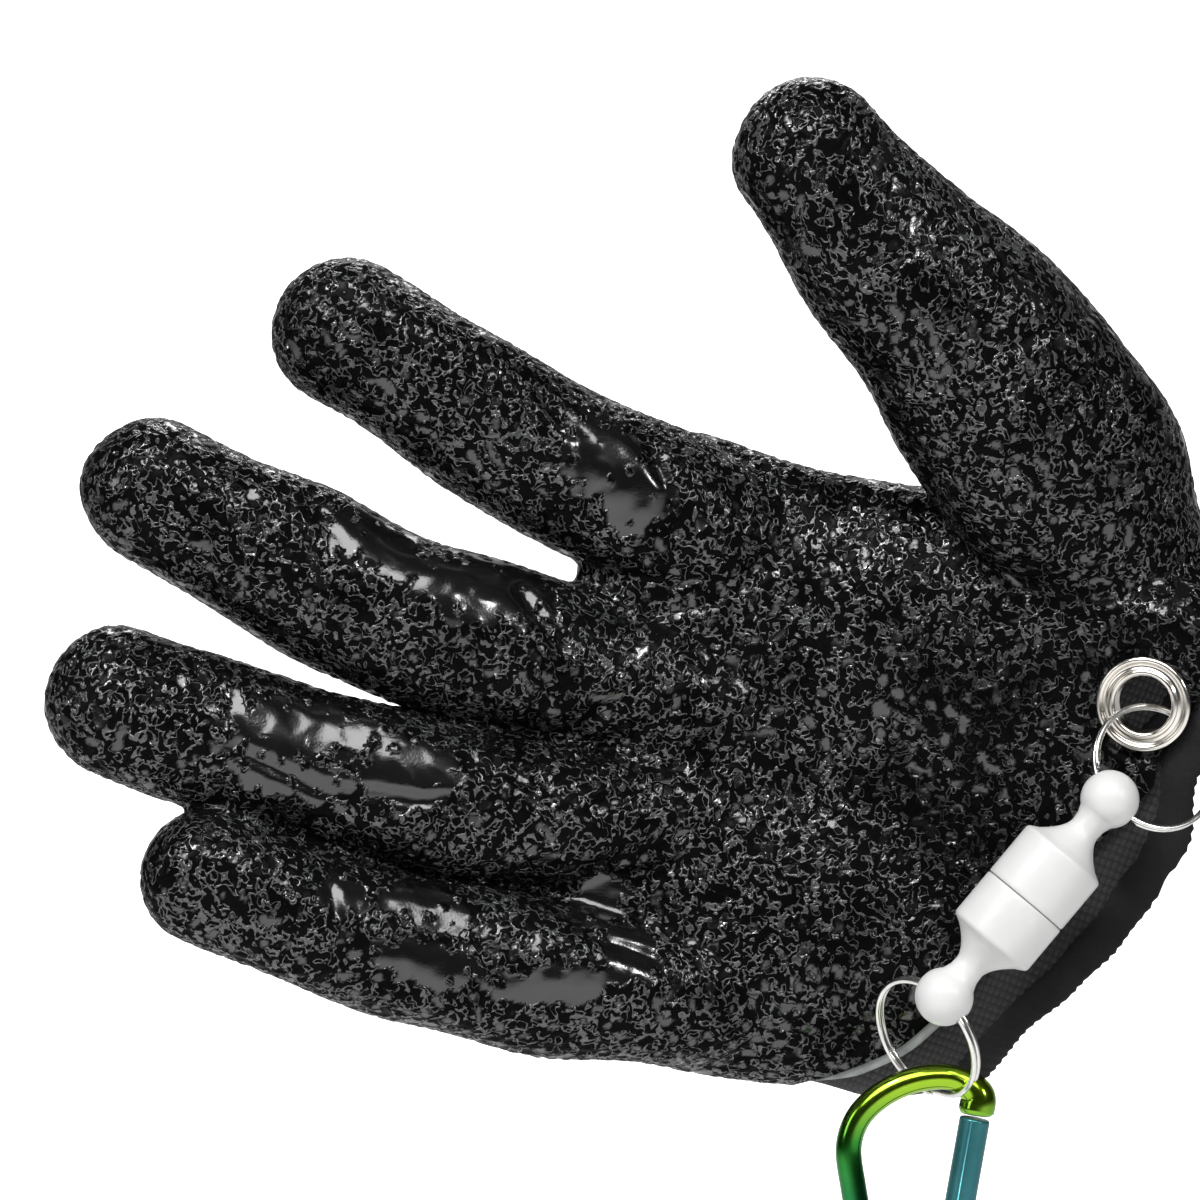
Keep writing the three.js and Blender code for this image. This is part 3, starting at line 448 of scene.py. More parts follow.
worms = mottle(place, 0.0020, 40, 11)
grain_axis = np.array([math.cos(math.radians(40)), 0, math.sin(math.radians(40))])
squeezed = place + grain_axis * (place @ grain_axis)[:, None] * -0.62
drawn = mottle(squeezed, 0.0021, 40, 17)
worms = worms * (1 - stretch) + drawn * stretch
ridge = 1 / (1 + np.exp(-2.6 * (worms - 0.15)))
height = 0.00024 * (ridge - 0.4)
puddle = 0.00013 * (1 / (1 + np.exp(-3.0 * mottle(place, 0.0048, 30, 23))) - 0.5) - 0.00004
lift = height * (1 - calm) + puddle * pool * (1 - flat_seat)


def crease(points, width, depth):
    """Groove along a polyline drawn in the photograph's plane: a bell-shaped section."""
    points = np.array(points, float)
    best = np.full(len(px), 1e9)
    for (ax, ay), (bx, by) in zip(points[:-1], points[1:]):
        ux, uy = bx - ax, by - ay
        f = np.clip(((px - ax) * ux + (py - ay) * uy) / (ux * ux + uy * uy), 0, 1)
        best = np.minimum(best, np.hypot(px - ax - f * ux, py - ay - f * uy))
    return -depth * np.exp(-(best / width) ** 2) * blurred_step(0.05, 0.4, facing)


creases = [
    ([(560, 600), (640, 620), (720, 600), (800, 540), (845, 490)], 9, 0.0011),
    ([(560, 740), (620, 700), (690, 660), (740, 610)], 9, 0.0010),
    ([(575, 760), (660, 720), (740, 670), (800, 600)], 8, 0.0008),
    ([(590, 810), (670, 770), (760, 700)], 8, 0.0007),
    ([(585, 870), (640, 850), (700, 830), (760, 800)], 8, 0.0008),
    ([(560, 900), (600, 940), (660, 960)], 9, 0.0009),
    ([(690, 860), (640, 880), (590, 870)], 8, 0.0007),
    ([(540, 395), (580, 440), (590, 500)], 8, 0.0007),
    ([(640, 430), (670, 490), (660, 530)], 8, 0.0008),
    ([(310, 500), (350, 560), (340, 620)], 8, 0.0006),
    ([(520, 590), (560, 640), (550, 700)], 8, 0.0008),
    ([(880, 380), (960, 370), (1040, 330), (1090, 310)], 10, 0.0010),
    ([(900, 420), (980, 400), (1050, 370)], 8, 0.0006),
    ([(1000, 470), (1060, 500), (1110, 560)], 14, 0.0008),
    ([(230, 700), (240, 760), (225, 800)], 8, 0.0006),
    ([(470, 760), (530, 780), (560, 830)], 8, 0.0008),
    ([(330, 890), (345, 940), (330, 980)], 8, 0.0006),
    ([(240, 752), (320, 790), (420, 800), (500, 800)], 7, 0.0009),
]
for line in creases:
    lift += crease(*line)
swell = mottle(place, 0.021, 14, 31)
lift += 0.00035 * swell * blurred_step(0.0, 0.004, rim_distance) * (1 - flat_seat)
lift *= blurred_step(-0.0004, 0.0012, rim_distance + 0.0004)
lift = np.clip(lift, -0.00085, 0.0009)
place = place + normal * lift[:, None]


def vertex_normals(place, quads):
    """Mean of the quads' normals round each vertex, each quad counted by its area."""
    a, b, c, d = (place[quads[:, i]] for i in range(4))
    face = np.cross(c - a, d - b)
    total = np.zeros_like(place)
    for i in range(4):
        np.add.at(total, quads[:, i], face)
    return total / np.maximum(np.linalg.norm(total, axis=1, keepdims=True), 1e-12)


outer_normal = vertex_normals(place, quads)
wetness = np.clip(pool, 0, 1)
# Lower right of the front: the wrinkles are made lower there, which also dims their painted crest highlight as painted
# shade.
flatter_and_painted_shade = 0.22 * blurred_step(760, 980, px) * blurred_step(520, 680, py)

# The eyelet's hole goes through the coat and the knit: its seat is read off the CAD eyelet.
eyelet_low, eyelet_high = (np.array(c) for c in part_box("eyelet"))
eyelet_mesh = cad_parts["eyelet"].data
eyelet_points = np.empty(len(eyelet_mesh.vertices) * 3)
eyelet_mesh.vertices.foreach_get("co", eyelet_points)
eyelet_points = eyelet_points.reshape(-1, 3)
eyelet_centre = eyelet_points.mean(axis=0)
spread = np.linalg.svd(eyelet_points - eyelet_centre, full_matrices=False)[2]
eyelet_normal = spread[2] * (-1 if spread[2][1] > 0 else 1)


def eyelet_distance(point):
    """Distance from the eyelet's axis."""
    offset = point - eyelet_centre
    height = offset @ eyelet_normal
    return np.linalg.norm(offset - height[:, None] * eyelet_normal, axis=1), height


apart, height_over = eyelet_distance(place)
hole_radius = 0.0056
keep = ~((apart[quads] < hole_radius).any(axis=1) & (np.abs(height_over[quads]) < 0.02).all(axis=1))
quads = quads[keep]
pressed = (1 - blurred_step(0.0082, 0.0110, apart)) * (np.abs(height_over) < 0.008)
place -= eyelet_normal * ((height_over + 0.00045) * pressed)[:, None] * (front > -0.01)[:, None]
outer_normal = vertex_normals(place, quads)


def shell(name, place, normal, quads, wall, outside):
    """Closed wall: the outer skin, the same skin moved in by the wall, and a strip round each edge.
    Also returns the given normals for the outer skin, so pieces cut from one skin can be lit without a seam."""
    used = np.unique(quads)
    renumber = np.full(len(place), -1)
    renumber[used] = np.arange(len(used))
    outer, facing_out, quads = place[used], normal[used], renumber[quads]
    count = len(outer)
    sides = np.concatenate([quads[:, [i, (i + 1) % 4]] for i in range(4)])
    key = np.sort(sides, axis=1)
    _, first, uses = np.unique(key, axis=0, return_index=True, return_counts=True)
    rim = sides[first[uses == 1]]
    strip = np.stack([rim[:, 1], rim[:, 0], rim[:, 0] + count, rim[:, 1] + count], -1)
    faces = np.concatenate([quads, quads[:, ::-1] + count, strip])
    points = np.concatenate([outer, outer - outside[used] * wall])
    mesh = bpy.data.meshes.new(name)
    mesh.from_pydata(points, [], faces.tolist())
    rounded = np.zeros((len(points), 3))
    rounded[:count] = facing_out
    return mesh, rounded, used


def lit_smoothly(thing, rounded):
    """Sets the given normals on a mesh. A zero normal leaves Blender's own."""
    thing.data.normals_split_custom_set_from_vertices(rounded)


def painted_value(mesh, name, values):
    """Keeps one number per vertex on the mesh, for its material to read."""
    layer = mesh.attributes.new(name, "FLOAT", "POINT")
    layer.data.foreach_set("value", np.ascontiguousarray(values, dtype=np.float32))


def new_material(name):
    """Empty node material: returns the material, its nodes, its links and its shader."""
    material = bpy.data.materials.new(name)
    material.use_nodes = True
    tree = material.node_tree
    return material, tree.nodes, tree.links, tree.nodes["Principled BSDF"]


def speckle_group():
    """Shared surface grain: a fine noise and a coarse noise on Object coordinates, 0 to 1 each."""
    group = bpy.data.node_groups.new("surface_grain", "ShaderNodeTree")
    for socket in ("Fine Scale", "Coarse Scale"):
        group.interface.new_socket(name=socket, in_out="INPUT", socket_type="NodeSocketFloat")
    for socket in ("Fine", "Coarse"):
        group.interface.new_socket(name=socket, in_out="OUTPUT", socket_type="NodeSocketFloat")
    nodes, links = group.nodes, group.links
    enter = nodes.new("NodeGroupInput")
    leave = nodes.new("NodeGroupOutput")
    place = nodes.new("ShaderNodeTexCoord")
    for socket, detail in (("Fine", 4), ("Coarse", 3)):
        noise = nodes.new("ShaderNodeTexNoise")
        noise.inputs["Detail"].default_value = detail
        links.new(place.outputs["Object"], noise.inputs["Vector"])
        links.new(enter.outputs[f"{socket} Scale"], noise.inputs["Scale"])
        links.new(noise.outputs["Fac"], leave.inputs[socket])
    return group


surface_grain = speckle_group()


def grain(nodes, fine, coarse):
    """Places the shared grain in a material with that material's own scales."""
    node = nodes.new("ShaderNodeGroup")
    node.node_tree = surface_grain
    node.inputs["Fine Scale"].default_value = fine
    node.inputs["Coarse Scale"].default_value = coarse
    return node


def ramp(nodes, links, source, stops):
    """Colour or value ramp through (place, colour) stops."""
    node = nodes.new("ShaderNodeValToRGB")
    links.new(source, node.inputs["Fac"])
    elements = node.color_ramp.elements
    while len(elements) < len(stops):
        elements.new(0.5)
    for element, (place, colour) in zip(elements, stops):
        element.position = place
        element.color = (*colour, 1) if len(colour) == 3 else colour
    return node


latex, nodes, links, shader = new_material("wrinkled_latex")
noise = grain(nodes, 2600, 90)
tone = ramp(nodes, links, noise.outputs["Coarse"], [(0.3, (0.0012, 0.0012, 0.0013)), (0.7, (0.0030, 0.0031, 0.0031))])
# Painted highlight: the base colour goes paler on the wrinkle crests, standing in for the light they catch.
painted_crest_highlight = nodes.new("ShaderNodeMix")
painted_crest_highlight.data_type = "RGBA"
links.new(tone.outputs["Color"], painted_crest_highlight.inputs["A"])
painted_crest_highlight.inputs["B"].default_value = (0.030, 0.031, 0.031, 1)
links.new(painted_crest_highlight.outputs["Result"], shader.inputs["Base Color"])
wetness_read = nodes.new("ShaderNodeAttribute")
wetness_read.attribute_name = "wetness"
gloss = nodes.new("ShaderNodeMapRange")
gloss.inputs["To Min"].default_value = 0.24
gloss.inputs["To Max"].default_value = 0.16
links.new(wetness_read.outputs["Fac"], gloss.inputs["Value"])
links.new(gloss.outputs["Result"], shader.inputs["Roughness"])
# Fine wrinkles: thin ridges along the middle value of two soft noises. Each noise breaks the other's
# ridges into short lengths. The crests get raised specular and a paler base colour, which is a painted highlight,
# while the valleys stay black.
coordinate = nodes.new("ShaderNodeTexCoord")


def math_node(operation, *terms):
    """Math node on sockets or numbers."""
    node = nodes.new("ShaderNodeMath")
    node.operation = operation
    for entry, term in zip(node.inputs, terms):
        if isinstance(term, (int, float)):
            entry.default_value = term
        else:
            links.new(term, entry)
    return node.outputs["Value"]


def eased(source, low, high, start=0.0, end=1.0):
    """Smooth step of a socket from one value to another."""
    node = nodes.new("ShaderNodeMapRange")
    node.interpolation_type = "SMOOTHSTEP"
    node.inputs["From Min"].default_value = low
    node.inputs["From Max"].default_value = high
    node.inputs["To Min"].default_value = start
    node.inputs["To Max"].default_value = end
    links.new(source, node.inputs["Value"])
    return node.outputs["Result"]


soft_noises = []
for scale, shift in ((620, 0.0), (720, 3.7)):
    moved = nodes.new("ShaderNodeMapping")
    moved.inputs["Location"].default_value = (shift, shift, shift)
    links.new(coordinate.outputs["Object"], moved.inputs["Vector"])
    soft = nodes.new("ShaderNodeTexNoise")
    soft.inputs["Scale"].default_value = scale
    soft.inputs["Detail"].default_value = 0.4
    soft.inputs["Distortion"].default_value = 0.7
    links.new(moved.outputs["Vector"], soft.inputs["Vector"])
    soft_noises.append(soft.outputs["Fac"])
ridges = []
for line, breaker in (soft_noises, soft_noises[::-1]):
    apart = math_node("ABSOLUTE", math_node("SUBTRACT", line, 0.5))
    aside = math_node("MINIMUM", math_node("MULTIPLY", apart, 1 / 0.100), 1.0)
    thin = math_node("SUBTRACT", 1.0, math_node("MULTIPLY", aside, aside))
    ridges.append(math_node("MULTIPLY", thin, eased(breaker, 0.40, 0.48)))
rough_read = nodes.new("ShaderNodeAttribute")
rough_read.attribute_name = "wrinkled"
either = math_node("MAXIMUM", ridges[0], ridges[1])
uneven = math_node("MULTIPLY", rough_read.outputs["Fac"], eased(noise.outputs["Coarse"], 0.35, 0.62, 0.74, 1.08))
wrinkle_height = math_node("MULTIPLY", either, uneven)
crest = eased(wrinkle_height, 0.40, 1.0)
calm_or_crest = math_node("MAXIMUM", crest, wetness_read.outputs["Fac"])
links.new(eased(calm_or_crest, 0.0, 1.0, 0.02, 0.90), shader.inputs["Specular IOR Level"])
bump = nodes.new("ShaderNodeBump")
bump.inputs["Strength"].default_value = 1.0
bump.inputs["Distance"].default_value = 0.00034
links.new(wrinkle_height, bump.inputs["Height"])
fine_bump = nodes.new("ShaderNodeBump")
fine_bump.inputs["Strength"].default_value = 0.2
fine_bump.inputs["Distance"].default_value = 0.0001
links.new(noise.outputs["Fine"], fine_bump.inputs["Height"])
links.new(bump.outputs["Normal"], fine_bump.inputs["Normal"])
links.new(fine_bump.outputs["Normal"], shader.inputs["Normal"])
# Painted highlight: crest height mixes the paler crest colour into the base colour.
links.new(crest, painted_crest_highlight.inputs["Factor"])

# The skin is cut into pieces between the digits, which share its normals.
centre = place[quads].mean(axis=1)
along_c, across_c, _ = glove_frame(centre).T
fan = across_c - 0.12 * (along_c - 0.07)
on_thumb = across_c > 0.045
on_palm = along_c < 0.062 + 0.25 * np.clip(across_c, 0, 0.04)
near_index = (fan > 0.012) & ((along_c > 0.080) | (across_c < 0.045))
piece_of = np.select(
    [on_thumb & ~near_index | (across_c > 0.052), on_palm, fan > 0.010, fan > -0.024, fan > -0.048],
    [1, 0, 2, 3, 4], 5)
for index, name in enumerate(("latex_palm", "latex_thumb", "latex_index_finger", "latex_middle_finger",
                              "latex_ring_finger", "latex_little_finger")):
    mesh, rounded, used = shell(name, place, outer_normal, quads[piece_of == index], coat_wall, normal)
    both = np.concatenate([used, used])
    painted_value(mesh, "wetness", wetness[both])
    painted_value(mesh, "wrinkled", ((1 - pool) * (1 - flatter_and_painted_shade))[both])
    part = shown(name, mesh, latex)
    lit_smoothly(part, rounded)
    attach(part, "glove")
    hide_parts("latex_coat")
    print(name, len(mesh.polygons) * 2)

# The cut edge of the latex shows the pale cotton lining that it is backed with.
edge_cream, nodes, links, shader = new_material("coat_edge")
noise = grain(nodes, 3000, 300)
tone = ramp(nodes, links, noise.outputs["Coarse"], [(0.3, (0.16, 0.17, 0.17)), (0.7, (0.34, 0.35, 0.35))])
links.new(tone.outputs["Color"], shader.inputs["Base Color"])
shader.inputs["Roughness"].default_value = 0.7


def front_line(line, across, inset, lift):
    """Points of the palm's front at given places across, on a line along, found by halving."""
    low, high = np.zeros(len(across)), np.full(len(across), 0.62)
    turn = np.full(len(across), math.pi / 2)
    for _ in range(26):
        at = (low + high) / 2
        for _ in range(6):
            point = palm_points(at, turn, inset)
            turn = np.clip(turn + (point[:, 1] - across) / (palm_width * 0.6), 0.02, math.pi - 0.02)
        point = palm_points(at, turn, inset)
        short = point[:, 0] < line(across)
        low, high = np.where(short, at, low), np.where(short, high, at)
    point = palm_points(low, turn, inset)
    point[:, 2] += lift
    return row_frame(point)


def tube_mesh(name, path, radius_a, radius_b, sides, closed, hint):
    """Oval tube carried along a path: radius_a towards the hint, radius_b across it."""
    ahead = np.roll(path, -1, 0) - np.roll(path, 1, 0)
    if not closed:
        ahead[0], ahead[-1] = path[1] - path[0], path[-1] - path[-2]
    ahead /= np.linalg.norm(ahead, axis=1, keepdims=True)
    hint = np.broadcast_to(hint, path.shape)
    side = hint - ahead * (hint * ahead).sum(1, keepdims=True)
    side /= np.linalg.norm(side, axis=1, keepdims=True)
    other = np.cross(ahead, side)
    turn = np.linspace(0, 2 * math.pi, sides + 1)[:-1]
    radius_a = np.broadcast_to(radius_a, len(path))[:, None, None]
    radius_b = np.broadcast_to(radius_b, len(path))[:, None, None]
    points = (path[:, None] + side[:, None] * radius_a * np.cos(turn)[None, :, None]
              + other[:, None] * radius_b * np.sin(turn)[None, :, None])
    if closed:
        mesh = grid_mesh(name, points, closed_u=True, closed_v=True)
    else:
        mesh = grid_mesh(name, points, closed_v=True)
    bm = bmesh.new()
    bm.from_mesh(mesh)
    if not closed:
        bmesh.ops.holes_fill(bm, edges=[e for e in bm.edges if e.is_boundary], sides=0)
    bmesh.ops.recalc_face_normals(bm, faces=bm.faces)
    bm.to_mesh(mesh)
    bm.free()
    return mesh


strip_across = np.linspace(-0.050, -0.024, 60)
strip_path = front_line(lambda a: coat_line(a) - 0.0006, strip_across, 0.0008, 0.0)
taper = np.clip(np.minimum(np.arange(60), np.arange(60)[::-1]) / 10, 0.15, 1)
strip = shown("coat_edge", tube_mesh("coat_edge", strip_path, 0.0005 * taper, 0.0012 * taper, 10, False,
                                     np.array([0.0, -1.0, 0.0])), edge_cream)
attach(strip, "glove")

# --- Knitted liner ---------------------------------------------------------------------------
# A seamless glove knitted from black yarn: rows of small interlocked loops, bare on the back, at
# the wrist and inside. The latex lies on it.
knit_inset, knit_wall = 0.0013, 0.0010
place, normal, quads = glove_form(knit_inset, 0.00125, 5)
along, across, front = glove_frame(place).T
reach_hem = along - hem_line(across) - hem_width * 0.6
inside = reach_hem[quads].mean(axis=1) > 0
quads = quads[inside]
apart, height_over = eyelet_distance(place)
quads = quads[~((apart[quads] < hole_radius).any(axis=1) & (np.abs(height_over[quads]) < 0.02).all(axis=1))]
pressed = (1 - blurred_step(0.0082, 0.0110, apart)) * (np.abs(height_over) < 0.008)
place = place - eyelet_normal * ((height_over + 0.0018) * pressed)[:, None] * (front > -0.01)[:, None]

knit_yarn, nodes, links, shader = new_material("knit_yarn")
coordinate = nodes.new("ShaderNodeTexCoord")
turned = nodes.new("ShaderNodeMapping")
turned.inputs["Rotation"].default_value = (0, -glove_rise, 0)
links.new(coordinate.outputs["Object"], turned.inputs["Vector"])
ribs = nodes.new("ShaderNodeTexWave")
ribs.wave_type, ribs.bands_direction = "BANDS", "Z"
ribs.inputs["Scale"].default_value = 230
ribs.inputs["Distortion"].default_value = 0.6
ribs.inputs["Detail Scale"].default_value = 400
links.new(turned.outputs["Vector"], ribs.inputs["Vector"])
rows = nodes.new("ShaderNodeTexWave")
rows.wave_type, rows.bands_direction = "BANDS", "X"
rows.inputs["Scale"].default_value = 330
rows.inputs["Distortion"].default_value = 0.8
rows.inputs["Detail Scale"].default_value = 500
links.new(turned.outputs["Vector"], rows.inputs["Vector"])
loops = nodes.new("ShaderNodeMath")
loops.operation = "MULTIPLY"
links.new(ribs.outputs["Fac"], loops.inputs[0])
links.new(rows.outputs["Fac"], loops.inputs[1])
noise = grain(nodes, 3500, 120)
tone = ramp(nodes, links, loops.outputs["Value"], [(0.0, (0.0020, 0.0020, 0.0022)), (0.7, (0.0120, 0.0120, 0.0128))])
links.new(tone.outputs["Color"], shader.inputs["Base Color"])
shader.inputs["Roughness"].default_value = 0.92
shader.inputs["Sheen Weight"].default_value = 0.12
stitch = nodes.new("ShaderNodeBump")
stitch.inputs["Strength"].default_value = 0.9
stitch.inputs["Distance"].default_value = 0.0005
links.new(loops.outputs["Value"], stitch.inputs["Height"])
fuzz = nodes.new("ShaderNodeBump")
fuzz.inputs["Strength"].default_value = 0.4
fuzz.inputs["Distance"].default_value = 0.0002
links.new(noise.outputs["Fine"], fuzz.inputs["Height"])
links.new(stitch.outputs["Normal"], fuzz.inputs["Normal"])
links.new(fuzz.outputs["Normal"], shader.inputs["Normal"])

mesh, rounded, used = shell("knit_glove", place, vertex_normals(place, quads), quads, knit_wall, normal)
knit_glove = shown("knit_glove", mesh, knit_yarn)
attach(knit_glove, "glove")
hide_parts("knit_liner")
print("knit_glove", len(mesh.polygons) * 2)

# --- Rolled hem ------------------------------------------------------------------------------
# The wrist edge is rolled over and overlocked with thick black yarn, so it is a soft round band
# with slanting stitches. It is tucked up where the ring comes round it.
steps = 360
turn = np.linspace(0, 2 * math.pi, steps + 1)[:-1]
inset = coat_wall + 0.0003 + knit_wall / 2
low, high = np.zeros(steps), np.full(steps, 0.5)
for _ in range(30):
    at = (low + high) / 2
    point = palm_points(at, turn, inset)
    short = point[:, 0] < hem_line(point[:, 1]) + hem_width / 2
    low, high = np.where(short, at, low), np.where(short, high, at)
middle_line = palm_points(low, turn, inset)
up = palm_points(low + 0.01, turn, inset) - palm_points(low - 0.01, turn, inset)
up /= np.linalg.norm(up, axis=1, keepdims=True)
round_way = palm_points(low, turn + 0.01, inset) - palm_points(low, turn - 0.01, inset)
round_way /= np.linalg.norm(round_way, axis=1, keepdims=True)
out = np.cross(up, round_way)
out /= np.linalg.norm(out, axis=1, keepdims=True)
length = np.concatenate([[0], np.cumsum(np.linalg.norm(np.diff(middle_line, axis=0), axis=1))])
angle = np.linspace(0, 2 * math.pi, 41)[:-1]
stitches = 1 + 0.06 * np.cos(2 * math.pi * length[:, None] / 0.0019 + 2 * angle[None]) \
    + 0.05 * np.cos(2 * math.pi * length[:, None] / 0.013 + 1.3 * np.sin(length[:, None] * 90))
section = (up[:, None] * (np.sign(np.cos(angle)) * np.abs(np.cos(angle)) ** 0.85)[None, :, None] * hem_width / 2
           + out[:, None] * np.sin(angle)[None, :, None] * hem_thickness / 2)
hem_mesh = grid_mesh("rolled_hem", row_frame(middle_line[:, None] + section * stitches[..., None]), True, True)
bm = bmesh.new()
bm.from_mesh(hem_mesh)
bmesh.ops.recalc_face_normals(bm, faces=bm.faces)
bm.to_mesh(hem_mesh)
bm.free()
hem_yarn, nodes, links, shader = new_material("hem_yarn")
noise = grain(nodes, 1800, 160)
tone = ramp(nodes, links, noise.outputs["Coarse"], [(0.3, (0.0020, 0.0020, 0.0022)), (0.75, (0.0075, 0.0075, 0.0080))])
links.new(tone.outputs["Color"], shader.inputs["Base Color"])
shader.inputs["Roughness"].default_value = 0.85
shader.inputs["Sheen Weight"].default_value = 0.02
shader.inputs["Specular IOR Level"].default_value = 0.25
fuzz = nodes.new("ShaderNodeBump")
fuzz.inputs["Strength"].default_value = 0.7
fuzz.inputs["Distance"].default_value = 0.0003
links.new(noise.outputs["Fine"], fuzz.inputs["Height"])
links.new(fuzz.outputs["Normal"], shader.inputs["Normal"])
hem = shown("rolled_hem", hem_mesh, hem_yarn)
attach(hem, "glove")
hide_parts("cuff_hem")


# --- Eyelet ----------------------------------------------------------------------------------
# A nickel-plated eyelet pressed through latex and knit: a rolled rim, a dished flange and a barrel
# whose end is turned out behind.
def frame_of(origin, x_axis, z_axis):
    """Matrix of a piece's own frame, from its origin and two axes in the row frame."""
    x, z = Vector(x_axis).normalized(), Vector(z_axis).normalized()
    y = z.cross(x)
    return np.array([[x[i], y[i], z[i], origin[i] / 1000] for i in range(3)] + [[0, 0, 0, 1]])


def placed(points, matrix):
    """Points in millimetres in a piece's frame, brought to metres in the row frame."""
    return (points / 1000) @ matrix[:3, :3].T + matrix[:3, 3]


def turned_mesh(name, profile, sides, matrix, closed=True):
    """Profile of (radius, height) points, rounded by a fine smooth curve, turned round the z axis."""
    profile = np.array(profile, float)
    turn = np.linspace(0, 2 * math.pi, sides + 1)[:-1]
    points = np.stack([profile[:, :1] * np.cos(turn), profile[:, :1] * np.sin(turn),
                       np.repeat(profile[:, 1:], sides, 1)], -1)
    mesh = grid_mesh(name, placed(points, matrix), closed_u=closed, closed_v=True)
    bm = bmesh.new()
    bm.from_mesh(mesh)
    bmesh.ops.remove_doubles(bm, verts=bm.verts, dist=1e-7)
    bmesh.ops.dissolve_degenerate(bm, edges=bm.edges, dist=1e-8)
    bmesh.ops.recalc_face_normals(bm, faces=bm.faces)
    bm.to_mesh(mesh)
    bm.free()
    return mesh


def arc(centre_r, centre_z, radius, start, end, count):
    """Points on a circle's arc in the profile's plane, angles in degrees."""
    a = np.radians(np.linspace(start, end, count))
    return [(centre_r + radius * math.cos(x), centre_z + radius * math.sin(x)) for x in a]


bright_nickel, nodes, links, shader = new_material("bright_nickel")
noise = grain(nodes, 900, 220)
tone = ramp(nodes, links, noise.outputs["Coarse"], [(0.3, (0.62, 0.58, 0.53)), (0.7, (0.80, 0.77, 0.72))])
links.new(tone.outputs["Color"], shader.inputs["Base Color"])
shader.inputs["Metallic"].default_value = 1
haze = nodes.new("ShaderNodeMapRange")
haze.inputs["To Min"].default_value = 0.10
haze.inputs["To Max"].default_value = 0.24
links.new(noise.outputs["Fine"], haze.inputs["Value"])
links.new(haze.outputs["Result"], shader.inputs["Roughness"])

seat = frame_of((-2.603, -21.877, 29.680), (0.87468, -0.28943, -0.38881), (-0.35182, -0.93087, -0.09853))
eyelet_profile = (
    [(4.6, -2.75)] + [(4.6, z) for z in np.linspace(-2.4, 0.7, 8)] + arc(5.15, 0.85, 0.55, 180, 20, 12)
    + [(6.1, 0.86), (6.4, 0.84)] + arc(7.12, 0.80, 0.60, 165, -70, 14) + [(7.0, 0.3), (5.4, 0.3), (5.1, 0.2)]
    + [(5.1, z) for z in np.linspace(0.0, -2.5, 6)] + arc(5.35, -2.62, 0.30, 60, -90, 6) + [(5.0, -3.0)])
eyelet = shown("nickel_eyelet", turned_mesh("nickel_eyelet", eyelet_profile, 96, seat), bright_nickel)
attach(eyelet, "glove")
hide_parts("eyelet")

# --- Split rings -----------------------------------------------------------------------------
# Two turns of flattened spring-steel wire side by side, one stepping over to the other. One ring
# goes through the eyelet and round the hem, the other through the lower ball.
ring_radius, ring_wire, coil_thickness, coil_pitch = 10.3, 0.9, 0.75, 0.87


def ring_mesh(name, matrix):
    """Rounded flat section carried along a two-turn circle whose height steps once by the pitch."""
    step_half, steps, sides = 0.42, 320, 16
    angle = np.linspace(step_half + 0.08, 4 * math.pi - step_half - 0.08, steps)
    climb = np.clip((angle - 2 * math.pi + step_half) / (2 * step_half), 0, 1)
    height = coil_pitch * (climb * climb * (3 - 2 * climb) - 0.5)
    turn = np.linspace(0, 2 * math.pi, sides + 1)[:-1]
    flat = lambda w: np.sign(w) * np.abs(w) ** 0.75
    end = np.clip(np.minimum(np.arange(steps), np.arange(steps)[::-1]) / 2.0, 0.55, 1)[:, None]
    radial = ring_radius + end * ring_wire / 2 * flat(np.cos(turn))
    points = np.stack([radial * np.cos(angle)[:, None], radial * np.sin(angle)[:, None],
                       height[:, None] + end * coil_thickness / 2 * flat(np.sin(turn))], -1)
    mesh = grid_mesh(name, placed(points, matrix), closed_v=True)
    bm = bmesh.new()
    bm.from_mesh(mesh)
    bmesh.ops.holes_fill(bm, edges=[e for e in bm.edges if e.is_boundary], sides=0)
    bmesh.ops.recalc_face_normals(bm, faces=bm.faces)
    bm.to_mesh(mesh)
    bm.free()
    return mesh


ring_steel, nodes, links, shader = new_material("ring_steel")
noise = grain(nodes, 1500, 260)
tone = ramp(nodes, links, noise.outputs["Coarse"], [(0.3, (0.58, 0.57, 0.55)), (0.7, (0.80, 0.79, 0.77))])
links.new(tone.outputs["Color"], shader.inputs["Base Color"])
shader.inputs["Metallic"].default_value = 1
haze = nodes.new("ShaderNodeMapRange")
haze.inputs["To Min"].default_value = 0.12
haze.inputs["To Max"].default_value = 0.28
links.new(noise.outputs["Fine"], haze.inputs["Value"])
links.new(haze.outputs["Result"], shader.inputs["Roughness"])
upper_ring = frame_of((-1.147, -23.911, 19.550), (-0.76248, -0.44809, -0.46674), (0.30179, -0.88439, 0.35605))
lower_ring = frame_of((-37.419, -21.535, -24.040), (0.45122, 0, -0.89241), (-0.72198, -0.58779, -0.36504))
for name, node, matrix in (("split_ring_upper", "ring_upper", upper_ring),
                           ("split_ring_lower", "ring_lower", lower_ring)):
    ring = shown(name, ring_mesh(name, matrix), ring_steel)
    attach(ring, "glove")
    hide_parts(node)

